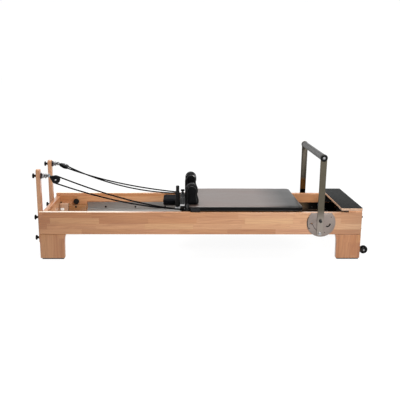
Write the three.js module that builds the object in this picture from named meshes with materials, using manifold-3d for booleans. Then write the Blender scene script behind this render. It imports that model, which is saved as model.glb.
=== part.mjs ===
// Pilates reformer: wooden frame on four legs, sliding sprung carriage, swing-up footbar,
// head-end risers with rope pulleys. Millimetres, +X towards the footbar, +Z up, floor at z = 0.
import * as THREE from 'three';
import { mergeVertices } from 'three/addons/utils/BufferGeometryUtils.js';
import Module from 'manifold-3d';

const wasm = await Module();
wasm.setup();

// ---------------------------------------------------------------- driving dimensions
const GAP = 0.3;              // clearance left between touching pieces
const HALF_L = 1200;          // frame half length
const HALF_W = 340;           // frame half width
const WOOD_T = 35;            // rail, leg and end board thickness
const RAIL_TOP = 363;
const RAIL_BOT = 193;
const RAIL_IN = HALF_W - WOOD_T;
const LEG_W_TOP = 195;        // leg length along the frame, at the rail
const LEG_W_BOT = 181;
const PAD_H = 8;              // rubber levelling pads
const HEAD_BOARD_BOT = 112, HEAD_BOARD_TOP = 338;

const TRACK_X0 = -940, TRACK_X1 = HALF_L - WOOD_T - 5;
const TRACK_TOP = 286, TRACK_BOT = 204, LEDGE_TOP = 231, LEDGE_T = 5, LEDGE_W = 40;

const PLAT_X0 = 1042, PLAT_TOP = 396.5, PLAT_BOT = 378.8, SPACER_X0 = 1100, MAT_T = 3.5;

const CAR_X0 = -150, CAR_X1 = 752;        // carriage deck
const DECK_TOP = 364.2, DECK_BOT = 341, DECK_HALF = 298, NECK_BOT = 352;
const CUSH_X0 = -105, CUSH_X1 = 765, CUSH_HALF = 330, CUSH_BOT = 364.6, CUSH_TOP = 406;
const WHEEL_R = 25, WHEEL_W = 22, WHEEL_Y = 279;
const WHEEL_X = [-60, 690];

const HR_X0 = -297, HR_X1 = -168, HR_HALF = 104, HR_BOT = 368.5, HR_TOP = 405;
const SR_X0 = -113.5, SR_X1 = -32.5, SR_Y0 = 140, SR_Y1 = 288, SR_TOP = 555, SR_FLARE = 17;   // shoulder rests
const LOOP_T = 4, LOOP_LOW = 430, LOOP_END = 492, LOOP_Y0 = 206, LOOP_Y1 = 252;

const RISER_Y = 205, RISER_W = 42, RISER_X0 = -1232.3, RISER_X1 = -1200.4, RISER_BOT = 96, RISER_TOP = 659;
const CLAMP_Z = [130, 290], RISER_DOWN = 90, RISER_UP = 20;
// Each pulley: swivel pin (x, z), how far the block dips, how far it is rolled about its own length, the rope's contact start, and each strand's end height and sag.
const PULLEY = {
  near: { side: -1, eyeX: -1140, eyeZ: 608, dip: 28 * Math.PI / 180, roll: 0, start: 0.36, a: [374, 34], b: [370, 36] },
  far: { side: 1, eyeX: -1152, eyeZ: 628, dip: 20 * Math.PI / 180, roll: -86 * Math.PI / 180, start: 0, a: [370, 50], b: [380, 34] },
};
const BLOCK_L = 59, BLOCK_R = 31, SHEAVE_R = 28, GROOVE_R = 22, SHEAVE_W = 15;
const ROPE_R = 5.4;
const ANCHOR_X = -132, ANCHOR_Y = 288, LOOP_LINE_Y = 262;   // rope posts, and the line of the strand to the loop

const PIVOT_X = 884, PIVOT_Z = 203;       // footbar hinge
const BAR_Z = 776, BAR_R = 24, UP_W = 46, UP_T = 8;
const PLATE_X = 893, PLATE_Z = 285, PLATE_R = 108, PLATE_T = 4.5;
const LOCK_R = 98.5, LOCK_ANGLES = [-39, 0, 47];

const TW_X = 1234.5, TW_Z = 67.5, TW_R = 31, TW_Y = 310, TW_W = 22;

const SPRING_Z = 250, SPRING_R = 13, SPRING_BAR_X = 1008, SPRING_Y = [-165, -55, 55, 165];

// ---------------------------------------------------------------- materials
const mat = (color, roughness, metalness = 0) => new THREE.MeshStandardMaterial({ color, roughness, metalness });
const M = {
  wood: mat(0xc08a5c, 0.38), woodLight: mat(0xb98a66, 0.42), rubber: mat(0x1c1b1b, 0.8),
  vinyl: mat(0x232323, 0.5), vinylTop: mat(0x2b2a2a, 0.5), alu: mat(0xa8a49e, 0.4, 0.9),
  steel: mat(0x9a968e, 0.25, 1), grip: mat(0x868484, 0.6), mat_: mat(0x343432, 0.9),
  plastic: mat(0x161617, 0.45), rope: mat(0x17171a, 0.8), ply: mat(0xa97c55, 0.5), zinc: mat(0xb0b0b0, 0.35, 1),
  webbing: mat(0x2a2b2f, 0.9),
};

// ---------------------------------------------------------------- helpers
const BASIS = {
  z: new THREE.Matrix4(),
  x: new THREE.Matrix4().makeBasis(new THREE.Vector3(0, 1, 0), new THREE.Vector3(0, 0, 1), new THREE.Vector3(1, 0, 0)),
  y: new THREE.Matrix4().makeBasis(new THREE.Vector3(0, 0, 1), new THREE.Vector3(1, 0, 0), new THREE.Vector3(0, 1, 0)),
};
// Extrude a closed shape; (u, v) -> (Y, Z) for axis x, (Z, X) for axis y, (X, Y) for axis z.
function outline(points) {
  const out = [];
  for (const p of points) if (!out.length || p.distanceTo(out[out.length - 1]) > 1e-3) out.push(p.clone());
  while (out.length > 1 && out[0].distanceTo(out[out.length - 1]) < 1e-3) out.pop();
  return out;
}
function extrude(shape, w0, w1, axis, bevel = 0, curveSegments = 4, bevelSegments = 1) {
  const src = shape.extractPoints(curveSegments), plain = new THREE.Shape(outline(src.shape));
  for (const h of src.holes) plain.holes.push(new THREE.Path(outline(h)));
  const g = new THREE.ExtrudeGeometry(plain, {
    depth: (w1 - w0) - 2 * bevel, bevelEnabled: bevel > 0, bevelThickness: bevel, bevelSize: bevel,
    bevelOffset: -bevel, bevelSegments, curveSegments, steps: 1,
  });
  g.translate(0, 0, w0 + bevel);
  g.applyMatrix4(BASIS[axis]);
  return g;
}
function roundedRect(u0, u1, v0, v1, r) {
  const s = new THREE.Shape();
  s.moveTo(u0 + r, v0);
  s.lineTo(u1 - r, v0); s.absarc(u1 - r, v0 + r, r, -Math.PI / 2, 0, false);
  s.lineTo(u1, v1 - r); s.absarc(u1 - r, v1 - r, r, 0, Math.PI / 2, false);
  s.lineTo(u0 + r, v1); s.absarc(u0 + r, v1 - r, r, Math.PI / 2, Math.PI, false);
  s.lineTo(u0, v0 + r); s.absarc(u0 + r, v0 + r, r, Math.PI, 1.5 * Math.PI, false);
  return s;
}
// Box with rounded long edges (radius r, along the axis) and chamfered ends (bevel b).
function rbox(x0, x1, y0, y1, z0, z1, axis = 'x', r = 4, b = 2, seg = 2) {
  b = Math.min(b, r - 1);
  if (axis === 'x') return extrude(roundedRect(y0, y1, z0, z1, r), x0, x1, 'x', b, seg);
  if (axis === 'y') return extrude(roundedRect(z0, z1, x0, x1, r), y0, y1, 'y', b, seg);
  return extrude(roundedRect(x0, x1, y0, y1, r), z0, z1, 'z', b, seg);
}
function circle(u, v, r) { const s = new THREE.Shape(); s.absarc(u, v, r, 0, 2 * Math.PI, false); return s; }
// Cylinder along an axis; (u, v) as in extrude().
function disc(u, v, r, w0, w1, axis, bevel = 0, seg = 24) { return extrude(circle(u, v, r), w0, w1, axis, bevel, seg / 2); }
const box = (x0, x1, y0, y1, z0, z1) => {
  const g = new THREE.BoxGeometry(x1 - x0, y1 - y0, z1 - z0);
  g.translate((x0 + x1) / 2, (y0 + y1) / 2, (z0 + z1) / 2);
  return g;
};
function solid(g) {
  const c = g.clone();
  c.deleteAttribute('normal'); if (c.getAttribute('uv')) c.deleteAttribute('uv');
  const m = mergeVertices(c, 1e-3);
  const idx = m.index.array, pos = m.getAttribute('position').array, tri = [];
  for (let i = 0; i < idx.length; i += 3) {
    const [a, b, d] = [idx[i], idx[i + 1], idx[i + 2]];
    if (a !== b && b !== d && a !== d) tri.push(a, b, d);
  }
  return new wasm.Manifold(new wasm.Mesh({ numProp: 3, vertProperties: new Float32Array(pos), triVerts: new Uint32Array(tri) }));
}
function toGeometry(m) {
  const mesh = m.getMesh();
  const np = mesh.numProp, n = mesh.vertProperties.length / np, p = new Float32Array(n * 3);
  for (let i = 0; i < n; i++) for (let k = 0; k < 3; k++) p[3 * i + k] = mesh.vertProperties[np * i + k];
  const g = new THREE.BufferGeometry();
  g.setAttribute('position', new THREE.BufferAttribute(p, 3));
  g.setIndex(new THREE.BufferAttribute(new Uint32Array(mesh.triVerts), 1));
  g.computeVertexNormals();
  return g;
}
const union = (...gs) => toGeometry(gs.map(solid).reduce((a, b) => a.add(b)));
const cut = (g, ...tools) => toGeometry(tools.map(solid).reduce((a, b) => a.subtract(b), solid(g)));
// Reflect a geometry in y, keeping its faces outward.
function mirrorY(g) {
  const c = g.index ? g.toNonIndexed() : g.clone();
  c.deleteAttribute('normal'); if (c.getAttribute('uv')) c.deleteAttribute('uv');
  const p = c.getAttribute('position').array;
  for (let i = 0; i < p.length; i += 9) {
    for (let k = 0; k < 3; k++) { const t = p[i + 3 + k]; p[i + 3 + k] = p[i + 6 + k]; p[i + 6 + k] = t; }
    for (let k = 0; k < 3; k++) p[i + 3 * k + 1] *= -1;
  }
  const m = mergeVertices(c, 1e-4);
  m.computeVertexNormals();
  return m;
}

const root = new THREE.Group();
const add = (name, geometry, material) => {
  const m = new THREE.Mesh(geometry, material);
  m.name = name;
  root.add(m);
  return m;
};
// A piece and its mirror image: the geometry is given for the near side (negative y).
const pair = (name, g, material) => { add(`${name}_near`, g, material); add(`${name}_far`, mirrorY(g), material); };

// ---------------------------------------------------------------- frame
pair('side_rail', rbox(-HALF_L, HALF_L, -HALF_W, -RAIL_IN, RAIL_BOT, RAIL_TOP, 'x', 5, 2.5), M.wood);
add('head_end_board', rbox(-HALF_L, -HALF_L + WOOD_T, -RAIL_IN + GAP, RAIL_IN - GAP, HEAD_BOARD_BOT, HEAD_BOARD_TOP, 'y', 4, 1), M.wood);
add('foot_end_board', rbox(HALF_L - WOOD_T, HALF_L, -RAIL_IN + GAP, RAIL_IN - GAP, RAIL_BOT, RAIL_TOP, 'y', 4, 1), M.wood);
function leg(sign) {
  // Outline in (z, x): straight outer edge, inner edge that flares out in a cove under the rail.
  const top = RAIL_BOT - GAP, bot = PAD_H + GAP, s = new THREE.Shape();
  const X = (w) => sign * (HALF_L - w);
  const inner = [[bot + 3, LEG_W_BOT], [top - 45, LEG_W_BOT + 3], [top - 28, LEG_W_BOT + 4.5], [top - 14, LEG_W_BOT + 7.5], [top - 5, LEG_W_BOT + 11.5], [top, LEG_W_TOP]];
  const pts = [[bot, X(3)], [bot + 3, X(0)], [top, X(0)], ...inner.reverse().map(([z, w]) => [z, X(w)]), [bot, X(LEG_W_BOT - 3)]];
  if (sign > 0) pts.reverse();
  s.setFromPoints(pts.map(([z, x]) => new THREE.Vector2(z, x)));
  return extrude(s, -HALF_W, -RAIL_IN, 'y', 2.5);
}
pair('head_leg', leg(-1), M.wood);
pair('foot_leg', leg(1), M.wood);
for (const [n, sg] of [['head', -1], ['foot', 1]]) {
  const a = sg * (HALF_L - 12), b = sg * (HALF_L - LEG_W_BOT + 12);
  pair(`${n}_floor_pad`, rbox(Math.min(a, b), Math.max(a, b), -HALF_W + 3, -RAIL_IN - 3, 0, PAD_H, 'z', 10, 1.5), M.rubber);
}

// Aluminium tracks: a vertical flange on the rail and a ledge that the carriage wheels roll on.
{
  const y1 = -RAIL_IN + GAP;
  const s = new THREE.Shape([[y1, TRACK_BOT], [y1 + 4, TRACK_BOT], [y1 + 4, LEDGE_TOP - LEDGE_T], [y1 + LEDGE_W - 3, LEDGE_TOP - LEDGE_T],
    [y1 + LEDGE_W - 3, LEDGE_TOP - LEDGE_T - 8], [y1 + LEDGE_W, LEDGE_TOP - LEDGE_T - 8], [y1 + LEDGE_W, LEDGE_TOP],
    [y1 + 4, LEDGE_TOP], [y1 + 4, TRACK_TOP], [y1, TRACK_TOP]].map(([a, b]) => new THREE.Vector2(a, b)));
  pair('track', extrude(s, TRACK_X0, TRACK_X1, 'x'), M.alu);
}

// Standing platform: board on a spacer, with a grip mat.
add('standing_platform', union(
  rbox(PLAT_X0, HALF_L, -HALF_W, HALF_W, PLAT_BOT, PLAT_TOP - GAP, 'y', 2.5, 2.5),
  box(SPACER_X0, HALF_L - 3, -HALF_W + 2, HALF_W - 2, RAIL_TOP + GAP, PLAT_BOT + 4)), M.wood);
add('platform_grip_mat', rbox(PLAT_X0 + 1, HALF_L - 1, -HALF_W + 1, HALF_W - 1, PLAT_TOP, PLAT_TOP + MAT_T, 'z', 3, 0.8), M.mat_);

// Footbar side plate: a disc cut level with the rail top, with three lock holes and the hinge pin.
{
  const s = new THREE.Shape();
  const half = Math.acos((RAIL_TOP - 1 - PLATE_Z) / PLATE_R);       // angle from +z to the flat
  // (u, v) = (z, x): angle measured from +z towards +x
  s.absarc(PLATE_Z, PLATE_X, PLATE_R, half, 2 * Math.PI - half, false);
  s.closePath();
  for (const a of LOCK_ANGLES) {
    const t = a * Math.PI / 180, h = new THREE.Path();
    h.absarc(PIVOT_Z + LOCK_R * Math.cos(t), PIVOT_X + LOCK_R * Math.sin(t), 6.5, 0, 2 * Math.PI, true);
    s.holes.push(h);
  }
  const y0 = -HALF_W - GAP - PLATE_T, y1 = -HALF_W - GAP;
  const plate = extrude(s, y0, y1, 'y', 0.8, 10);
  const out = y0 - 0.4 - UP_T;
  pair('footbar_plate', union(plate, disc(PIVOT_Z, PIVOT_X, 8, out - 2, y0 + 1, 'y', 0, 24), disc(PIVOT_Z, PIVOT_X, 13, out - 5, out - 0.4, 'y', 1, 24)), M.steel);

  // Footbar: two flat uprights and a round grip bar.
  const ua = y0 - 0.3 - UP_T, ub = y0 - 0.3, R = UP_W / 2;
  const u = new THREE.Shape();
  u.absarc(PIVOT_Z, PIVOT_X, R, Math.PI / 2, 1.5 * Math.PI, false);
  u.lineTo(BAR_Z, PIVOT_X - R);
  u.absarc(BAR_Z, PIVOT_X, R + 2, -Math.PI / 2, Math.PI / 2, false);
  u.closePath();
  for (const [z, r] of [[PIVOT_Z, 8.35], [PIVOT_Z + LOCK_R, 5.4]]) {
    const h = new THREE.Path(); h.absarc(z, PIVOT_X, r, 0, 2 * Math.PI, true); u.holes.push(h);
  }
  pair('footbar_upright', union(extrude(u, ua, ub, 'y', 1, 8), disc(BAR_Z, PIVOT_X, 27, ua - 7, ua + 1, 'y', 1.5, 24)), M.steel);
  const L = -ub - GAP;
  const prof = [[20.5, -L], [BAR_R - 1, -L], [BAR_R, -L + 1], [BAR_R, L - 1], [BAR_R - 1, L], [20.5, L], [20.5, -L]].map(([r, y]) => new THREE.Vector2(r, y));
  const bar = new THREE.LatheGeometry(prof, 28); bar.translate(PIVOT_X, 0, BAR_Z);
  add('footbar_grip', bar, M.grip);
  // Spring-loaded lock plungers on the uprights.
  const zp = PIVOT_Z + LOCK_R;
  pair('footbar_lock_pin', union(disc(zp, PIVOT_X, 5, ua - 8, ub - 0.1, 'y', 0, 16), disc(zp, PIVOT_X, 10.5, ua - 16, ua - 0.4, 'y', 2, 20)), M.plastic);
}

// Spring bar with a raised hook rail, between the side rails near the foot end.
add('spring_bar', union(
  rbox(SPRING_BAR_X, SPRING_BAR_X + 22, -RAIL_IN + LEDGE_W + 1.5, RAIL_IN - LEDGE_W - 1.5, SPRING_Z - 26, SPRING_Z + 20, 'y', 4, 1),
  box(SPRING_BAR_X + 3, SPRING_BAR_X + 19, -RAIL_IN + 4.7, RAIL_IN - 4.7, LEDGE_TOP + 1.5, SPRING_Z + 12)), M.steel);

// ---------------------------------------------------------------- head end: risers, pulleys, knobs
// Frame of a pulley: origin on the swivel pin, x along the block, y along the sheave axle.
function pulleyFrame(p) {
  return new THREE.Matrix4().makeTranslation(p.eyeX, p.side * RISER_Y, p.eyeZ)
    .multiply(new THREE.Matrix4().makeRotationY(p.dip)).multiply(new THREE.Matrix4().makeRotationX(p.roll));
}
for (const [n, p] of Object.entries(PULLEY)) {
  const hw = RISER_W / 2, y = p.side * RISER_Y, EYE_X = p.eyeX, EYE_Z = p.eyeZ;
  const s = new THREE.Shape();                           // (u, v) = (Y, Z)
  s.moveTo(y - hw, RISER_BOT + 4); s.lineTo(y - hw + 4, RISER_BOT); s.lineTo(y + hw - 4, RISER_BOT); s.lineTo(y + hw, RISER_BOT + 4);
  s.lineTo(y + hw, RISER_TOP - hw * 0.8);
  s.absellipse(y, RISER_TOP - hw * 0.8, hw, hw * 0.8, 0, Math.PI, false, 0);
  s.closePath();
  for (const z of CLAMP_Z) {
    const h = new THREE.Path(), r = 6;
    h.absarc(y, z + RISER_DOWN, r, 0, Math.PI, false); h.absarc(y, z - RISER_UP, r, Math.PI, 2 * Math.PI, false); h.closePath();
    s.holes.push(h);
  }
  const e = new THREE.Path(); e.absarc(y, EYE_Z, 6.6, 0, 2 * Math.PI, true); s.holes.push(e);
  add(`riser_post_${n}`, extrude(s, RISER_X0, RISER_X1, 'x', 3, 6, 1), M.woodLight);

  // Knob: mushroom head on a stem; (r, distance from the post) profile turned about the X axis.
  const knob = (z, stud) => {
    const q = [[0, 0], [13, 0], [13, 3], [8.5, 6], [8.5, 13.5], [16.5, 17], [19, 19.5], [19, 24.5], [16.5, 28], [0, 28]].map(([r, h]) => new THREE.Vector2(r, h));
    const g = new THREE.LatheGeometry(q, 20); g.rotateZ(Math.PI / 2);
    g.translate(RISER_X0 - GAP, y, z);
    if (!stud) return g;
    const st = disc(y, z, 5, RISER_X0 - 2, -HALF_L - GAP, 'x', 0, 16);
    return union(g, st);
  };
  add(`pulley_knob_${n}`, knob(EYE_Z, false), M.plastic);
  add(`lower_clamp_knob_${n}`, knob(CLAMP_Z[0], true), M.plastic);
  add(`upper_clamp_knob_${n}`, knob(CLAMP_Z[1], true), M.plastic);

  // Eyebolt: shank through the post, washer, and a vertical swivel pin at its tip.
  add(`pulley_eyebolt_${n}`, union(
    disc(y, EYE_Z, 6, RISER_X0 + 4, EYE_X, 'x', 0, 16),
    disc(y, EYE_Z, 21, RISER_X1 + GAP, RISER_X1 + 6, 'x', 1.5, 24),
    disc(y, EYE_Z, 9.5, RISER_X1 + 5, RISER_X1 + 16, 'x', 1, 18),
    disc(EYE_X, y, 5, EYE_Z - 13, EYE_Z + 13, 'z', 0, 18),
    disc(EYE_X, y, 8.5, EYE_Z + 11, EYE_Z + 15, 'z', 1, 18)), M.zinc);

  // Pulley block: swivel sleeve, teardrop cheeks and the sheave axle; built along +X, then dipped and rolled.
  const D = BLOCK_L, t = new THREE.Shape();              // (u, v) = (Z, X) about the swivel axis
  t.absarc(0, D, BLOCK_R, -0.35, Math.PI + 0.35, false);
  t.lineTo(-8, 16); t.lineTo(8, 16); t.closePath();
  const body = solid(extrude(t, -13, 13, 'y', 3.5, 8))
    .subtract(solid(box(D - BLOCK_R - 2.5, D + 60, -SHEAVE_W / 2 - 0.6, SHEAVE_W / 2 + 0.6, -60, 60)));
  const axle = solid(disc(0, D, 4, -14.5, 14.5, 'y', 0, 20));
  const capA = solid(disc(0, D, 9, -15, -12, 'y', 1, 20)), capB = solid(disc(0, D, 9, 12, 15, 'y', 1, 20));
  const strap = solid(box(9, 24, -5, 5, -5, 5));
  const lift = pulleyFrame(p);
  const tiltG = (m) => { const g = toGeometry(m); g.applyMatrix4(lift); return g; };
  const sleeve = cut(disc(EYE_X, y, 11, EYE_Z - 9.5, EYE_Z + 9.5, 'z', 1.5, 24), disc(EYE_X, y, 5.5, EYE_Z - 20, EYE_Z + 20, 'z', 0, 24),
    box(EYE_X - 20, EYE_X + 2, y - 8.5, y + 8.5, EYE_Z - 6.6, EYE_Z + 6.6));
  add(`pulley_block_${n}`, union(sleeve, tiltG(body.add(axle).add(capA).add(capB).add(strap))), M.plastic);
  const w = SHEAVE_W / 2;
  const sp = [[4.4, -w], [SHEAVE_R - 1, -w], [SHEAVE_R, -w + 1], [GROOVE_R + 1.5, -5.2], [GROOVE_R, -3.2], [GROOVE_R, 3.2], [GROOVE_R + 1.5, 5.2], [SHEAVE_R, w - 1], [SHEAVE_R - 1, w], [4.4, w], [4.4, -w]].map(([r, h]) => new THREE.Vector2(r, h));
  const sheave = new THREE.LatheGeometry(sp, 28);
  sheave.translate(D, 0, 0); sheave.applyMatrix4(lift);
  add(`pulley_sheave_${n}`, sheave, M.plastic);
}

// ---------------------------------------------------------------- transport wheels
{
  const y = -TW_Y, f = HALF_L + GAP, ears = [];
  for (const s of [-1, 1]) {
    const a = y + s * (TW_W / 2 + 0.6), b = a + s * 4;
    ears.push(extrude(roundedRect(TW_Z - 13, TW_Z + 13, f + 0.5, TW_X + 12, 8), Math.min(a, b), Math.max(a, b), 'y', 0, 6));
  }
  pair('transport_bracket', union(box(f, f + 2.5, y - TW_W / 2 - 4.6, y + TW_W / 2 + 4.6, TW_Z - 34, TW_Z + 40), ...ears,
    disc(TW_Z, TW_X, 5, y - TW_W / 2 - 4, y + TW_W / 2 + 4, 'y', 0, 20)), M.plastic);
  const w = TW_W / 2;
  const p = [[5.4, -w], [12, -w], [14, -w + 3], [TW_R - 8, -w + 3], [TW_R - 6, -w], [TW_R - 2.5, -w], [TW_R, -w + 3], [TW_R, w - 3], [TW_R - 2.5, w], [TW_R - 6, w], [TW_R - 8, w - 3], [14, w - 3], [12, w], [5.4, w], [5.4, -w]].map(([r, h]) => new THREE.Vector2(r, h));
  const g = new THREE.LatheGeometry(p, 28); g.translate(TW_X, y, TW_Z);
  pair('transport_wheel', g, M.rubber);
}

// ---------------------------------------------------------------- carriage
{
  const by0 = WHEEL_Y - WHEEL_W / 2 - GAP - 14, by1 = WHEEL_Y - WHEEL_W / 2 - GAP;   // side beams
  const parts = [rbox(CAR_X0, CAR_X1, -DECK_HALF, DECK_HALF, DECK_BOT, DECK_TOP, 'x', 3, 2), rbox(HR_X0 + 12, CAR_X0 + 20, -92, 92, NECK_BOT, DECK_TOP, 'x', 3, 2),
    box(CAR_X1 - 24, CAR_X1 - 4, -by1 + 2, by1 - 2, SPRING_Z - 18, DECK_BOT + 3)];
  for (const s of [-1, 1]) parts.push(box(CAR_X0 + 15, CAR_X1 - 6, Math.min(s * by0, s * by1), Math.max(s * by0, s * by1), LEDGE_TOP + 6, DECK_BOT + 3));
  add('carriage_frame', union(...parts), M.ply);
  // Wheels with a closed hub face on the beam side.
  const w = WHEEL_W / 2;
  for (const [n, x] of [['head', WHEEL_X[0]], ['foot', WHEEL_X[1]]]) {
    const p = [[0, w], [8, w], [8, w - 2], [WHEEL_R - 7, w - 2], [WHEEL_R - 5, w], [WHEEL_R - 1.5, w], [WHEEL_R, w - 1.5], [WHEEL_R, -w + 1.5], [WHEEL_R - 1.5, -w], [0, -w]].reverse().map(([r, h]) => new THREE.Vector2(r, h));
    const g = new THREE.LatheGeometry(p, 24); g.rotateX(Math.PI); g.translate(x, -WHEEL_Y, LEDGE_TOP + WHEEL_R + GAP);
    pair(`carriage_wheel_${n}`, g, M.rubber);
  }
  // Shoulder rest base: cross plate with two uprights and a rope post at each end.
  const base = [rbox(-162, CUSH_X0 - 12, -DECK_HALF, DECK_HALF, DECK_TOP + GAP, DECK_TOP + 5, 'y', 2, 1)];
  for (const s of [-1, 1]) {
    const a = s * (SR_Y0 + 36), b = s * (SR_Y0 + 96);
    base.push(box(SR_X0 - 8, SR_X0 - GAP - 0.2, Math.min(a, b), Math.max(a, b), DECK_TOP + 2, SR_TOP - 60));
    base.push(disc(ANCHOR_X - 8, s * ANCHOR_Y, 5, DECK_TOP + 3, DECK_TOP + 20, 'z', 0, 16));
    base.push(disc(ANCHOR_X - 8, s * ANCHOR_Y, 9.5, DECK_TOP + 17, DECK_TOP + 26, 'z', 2, 20));
  }
  add('shoulder_rest_base', union(...base), M.plastic);

  add('carriage_cushion', extrude(roundedRect(CUSH_X0, CUSH_X1, -CUSH_HALF, CUSH_HALF, 38), CUSH_BOT, CUSH_TOP, 'z', 7, 5, 2), M.vinylTop);
  add('headrest', extrude(roundedRect(HR_X0, HR_X1, -HR_HALF, HR_HALF, 26), HR_BOT, HR_TOP, 'z', 10, 4, 2), M.vinyl);
  // Shoulder rest: arched pad.
  {
    const s = new THREE.Shape(), r = (SR_X1 - SR_X0) / 2, zc = SR_TOP - r, b = CUSH_TOP + 1.2;
    s.moveTo(b, SR_X0 + 6); s.lineTo(b + 6, SR_X0); s.lineTo(zc, SR_X0);
    s.absarc(zc, (SR_X0 + SR_X1) / 2, r, -Math.PI / 2, Math.PI / 2, false);
    s.lineTo(b + 62, SR_X1); s.lineTo(b + 10, SR_X1 + SR_FLARE); s.lineTo(b, SR_X1 + SR_FLARE - 8); s.closePath();   // flared foot towards the cushion
    const w = new THREE.Shape(s.getPoints(10).filter((p, i, a) => i === 0 || p.distanceTo(a[i - 1]) > 0.5));
    pair('shoulder_rest', extrude(w, -SR_Y1, -SR_Y0, 'y', 8, 6, 1), M.vinyl);
    // Foot loop hung over the shoulder rest: a strap in an inverted U.
    const outer = r + LOOP_T + 0.6, inn = r + 0.6, xm = (SR_X0 + SR_X1) / 2;
    const l = new THREE.Shape();
    l.moveTo(LOOP_LOW, xm - outer); l.lineTo(zc, xm - outer); l.absarc(zc, xm, outer, -Math.PI / 2, Math.PI / 2, false); l.lineTo(LOOP_END, xm + outer);
    l.lineTo(LOOP_END, xm + inn); l.lineTo(zc, xm + inn); l.absarc(zc, xm, inn, Math.PI / 2, -Math.PI / 2, true); l.lineTo(LOOP_LOW, xm - inn); l.closePath();
    const ring = extrude(l, -LOOP_Y1, -LOOP_Y0, 'y', 0, 10);
    // clear of the base upright on the head side
    pair('foot_loop', cut(ring, box(SR_X0 - 9, SR_X0 + 2, -SR_Y0 - 97, -SR_Y0 - 35, 300, SR_TOP - 59.5)), M.webbing);
  }
}

// ---------------------------------------------------------------- springs
SPRING_Y.forEach((y, i) => {
  add(`carriage_spring_${i + 1}`, disc(y, SPRING_Z, SPRING_R, CAR_X1 - 4 + GAP, SPRING_BAR_X - GAP, 'x', 2, 12), M.zinc);
});

// ---------------------------------------------------------------- ropes
// Stations along each rope: carriage post -> top of sheave -> round the sheave -> back to the loop.
class Stations extends THREE.Curve {
  constructor(points) { super(); this.points = points; }
  getPointAt(u, target = new THREE.Vector3()) {
    const t = u * (this.points.length - 1), i = Math.min(Math.floor(t), this.points.length - 2);
    return target.copy(this.points[i]).lerp(this.points[i + 1], t - i);
  }
  getPoint(u, target) { return this.getPointAt(u, target); }
  getTangentAt(u, target = new THREE.Vector3()) {
    const n = this.points.length - 1, k = Math.round(u * n);
    const a = this.points[Math.max(0, k - 1)], b = this.points[Math.min(n, k + 1)];
    return target.subVectors(b, a).normalize();
  }
}
function ropeStations(p) {
  const yA = p.side * ANCHOR_Y, R = GROOVE_R + ROPE_R + 0.4, pts = [];
  const strand = (a, b, n, sag) => {
    for (let i = 0; i <= n; i++) {
      const t = i / n, q = a.clone().lerp(b, t), e = t * t * (3 - 2 * t);
      q.y = a.y + (b.y - a.y) * e;
      q.z -= sag * 4 * t * (1 - t);
      pts.push(q);
    }
  };
  // The contact circle lies in the sheave's plane; the near one is taken level, as its strands run in a vertical plane.
  const C = new THREE.Vector3(BLOCK_L, 0, 0).applyMatrix4(pulleyFrame(p));
  const back = p.roll ? new THREE.Vector3(Math.cos(p.dip), 0, -Math.sin(p.dip)) : new THREE.Vector3(1, 0, 0);
  const up = p.roll ? new THREE.Vector3(0, 0, 1).transformDirection(pulleyFrame(p)) : new THREE.Vector3(0, 0, 1);
  const on = (a) => C.clone().addScaledVector(back, -R * Math.sin(a)).addScaledVector(up, R * Math.cos(a));
  strand(new THREE.Vector3(ANCHOR_X - 34, yA, p.a[0]), on(-p.start), 30, p.a[1]);
  for (let i = 1; i < 13; i++) pts.push(on(-p.start + Math.PI * i / 13));
  strand(on(Math.PI - p.start), new THREE.Vector3(ANCHOR_X - 34, p.side * LOOP_LINE_Y, p.b[0]), 31, p.b[1]);
  return pts;
}
for (const [n, p] of Object.entries(PULLEY)) {
  const pts = ropeStations(p);
  const sec = new THREE.Shape();
  for (let k = 0; k < 8; k++) { const a = k * Math.PI / 4; k ? sec.lineTo(ROPE_R * Math.cos(a), ROPE_R * Math.sin(a)) : sec.moveTo(ROPE_R, 0); }
  sec.closePath();
  add(`rope_${n}`, new THREE.ExtrudeGeometry(sec, { steps: pts.length - 1, bevelEnabled: false, extrudePath: new Stations(pts) }), M.rope);
}

export default root;
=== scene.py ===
import bpy, bmesh, math, random
from mathutils import Vector, Matrix
from mathutils.bvhtree import BVHTree


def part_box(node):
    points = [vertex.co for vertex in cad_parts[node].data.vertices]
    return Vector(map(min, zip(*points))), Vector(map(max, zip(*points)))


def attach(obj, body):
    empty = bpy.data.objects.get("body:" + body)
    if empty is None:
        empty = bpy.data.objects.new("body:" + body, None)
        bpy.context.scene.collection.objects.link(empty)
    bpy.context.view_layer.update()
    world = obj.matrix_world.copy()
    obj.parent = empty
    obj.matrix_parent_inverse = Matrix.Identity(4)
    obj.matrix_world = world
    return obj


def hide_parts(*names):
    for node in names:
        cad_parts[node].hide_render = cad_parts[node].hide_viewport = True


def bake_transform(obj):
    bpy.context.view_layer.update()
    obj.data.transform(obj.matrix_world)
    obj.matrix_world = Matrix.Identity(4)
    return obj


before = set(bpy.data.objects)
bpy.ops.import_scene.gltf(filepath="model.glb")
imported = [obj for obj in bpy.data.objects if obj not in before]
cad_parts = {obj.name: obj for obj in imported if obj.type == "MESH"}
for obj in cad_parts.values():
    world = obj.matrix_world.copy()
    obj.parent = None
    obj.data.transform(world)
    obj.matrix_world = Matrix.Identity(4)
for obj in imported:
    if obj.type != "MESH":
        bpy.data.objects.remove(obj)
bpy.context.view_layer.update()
MM = 0.001
random.seed(7)
scene = bpy.context.scene

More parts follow.
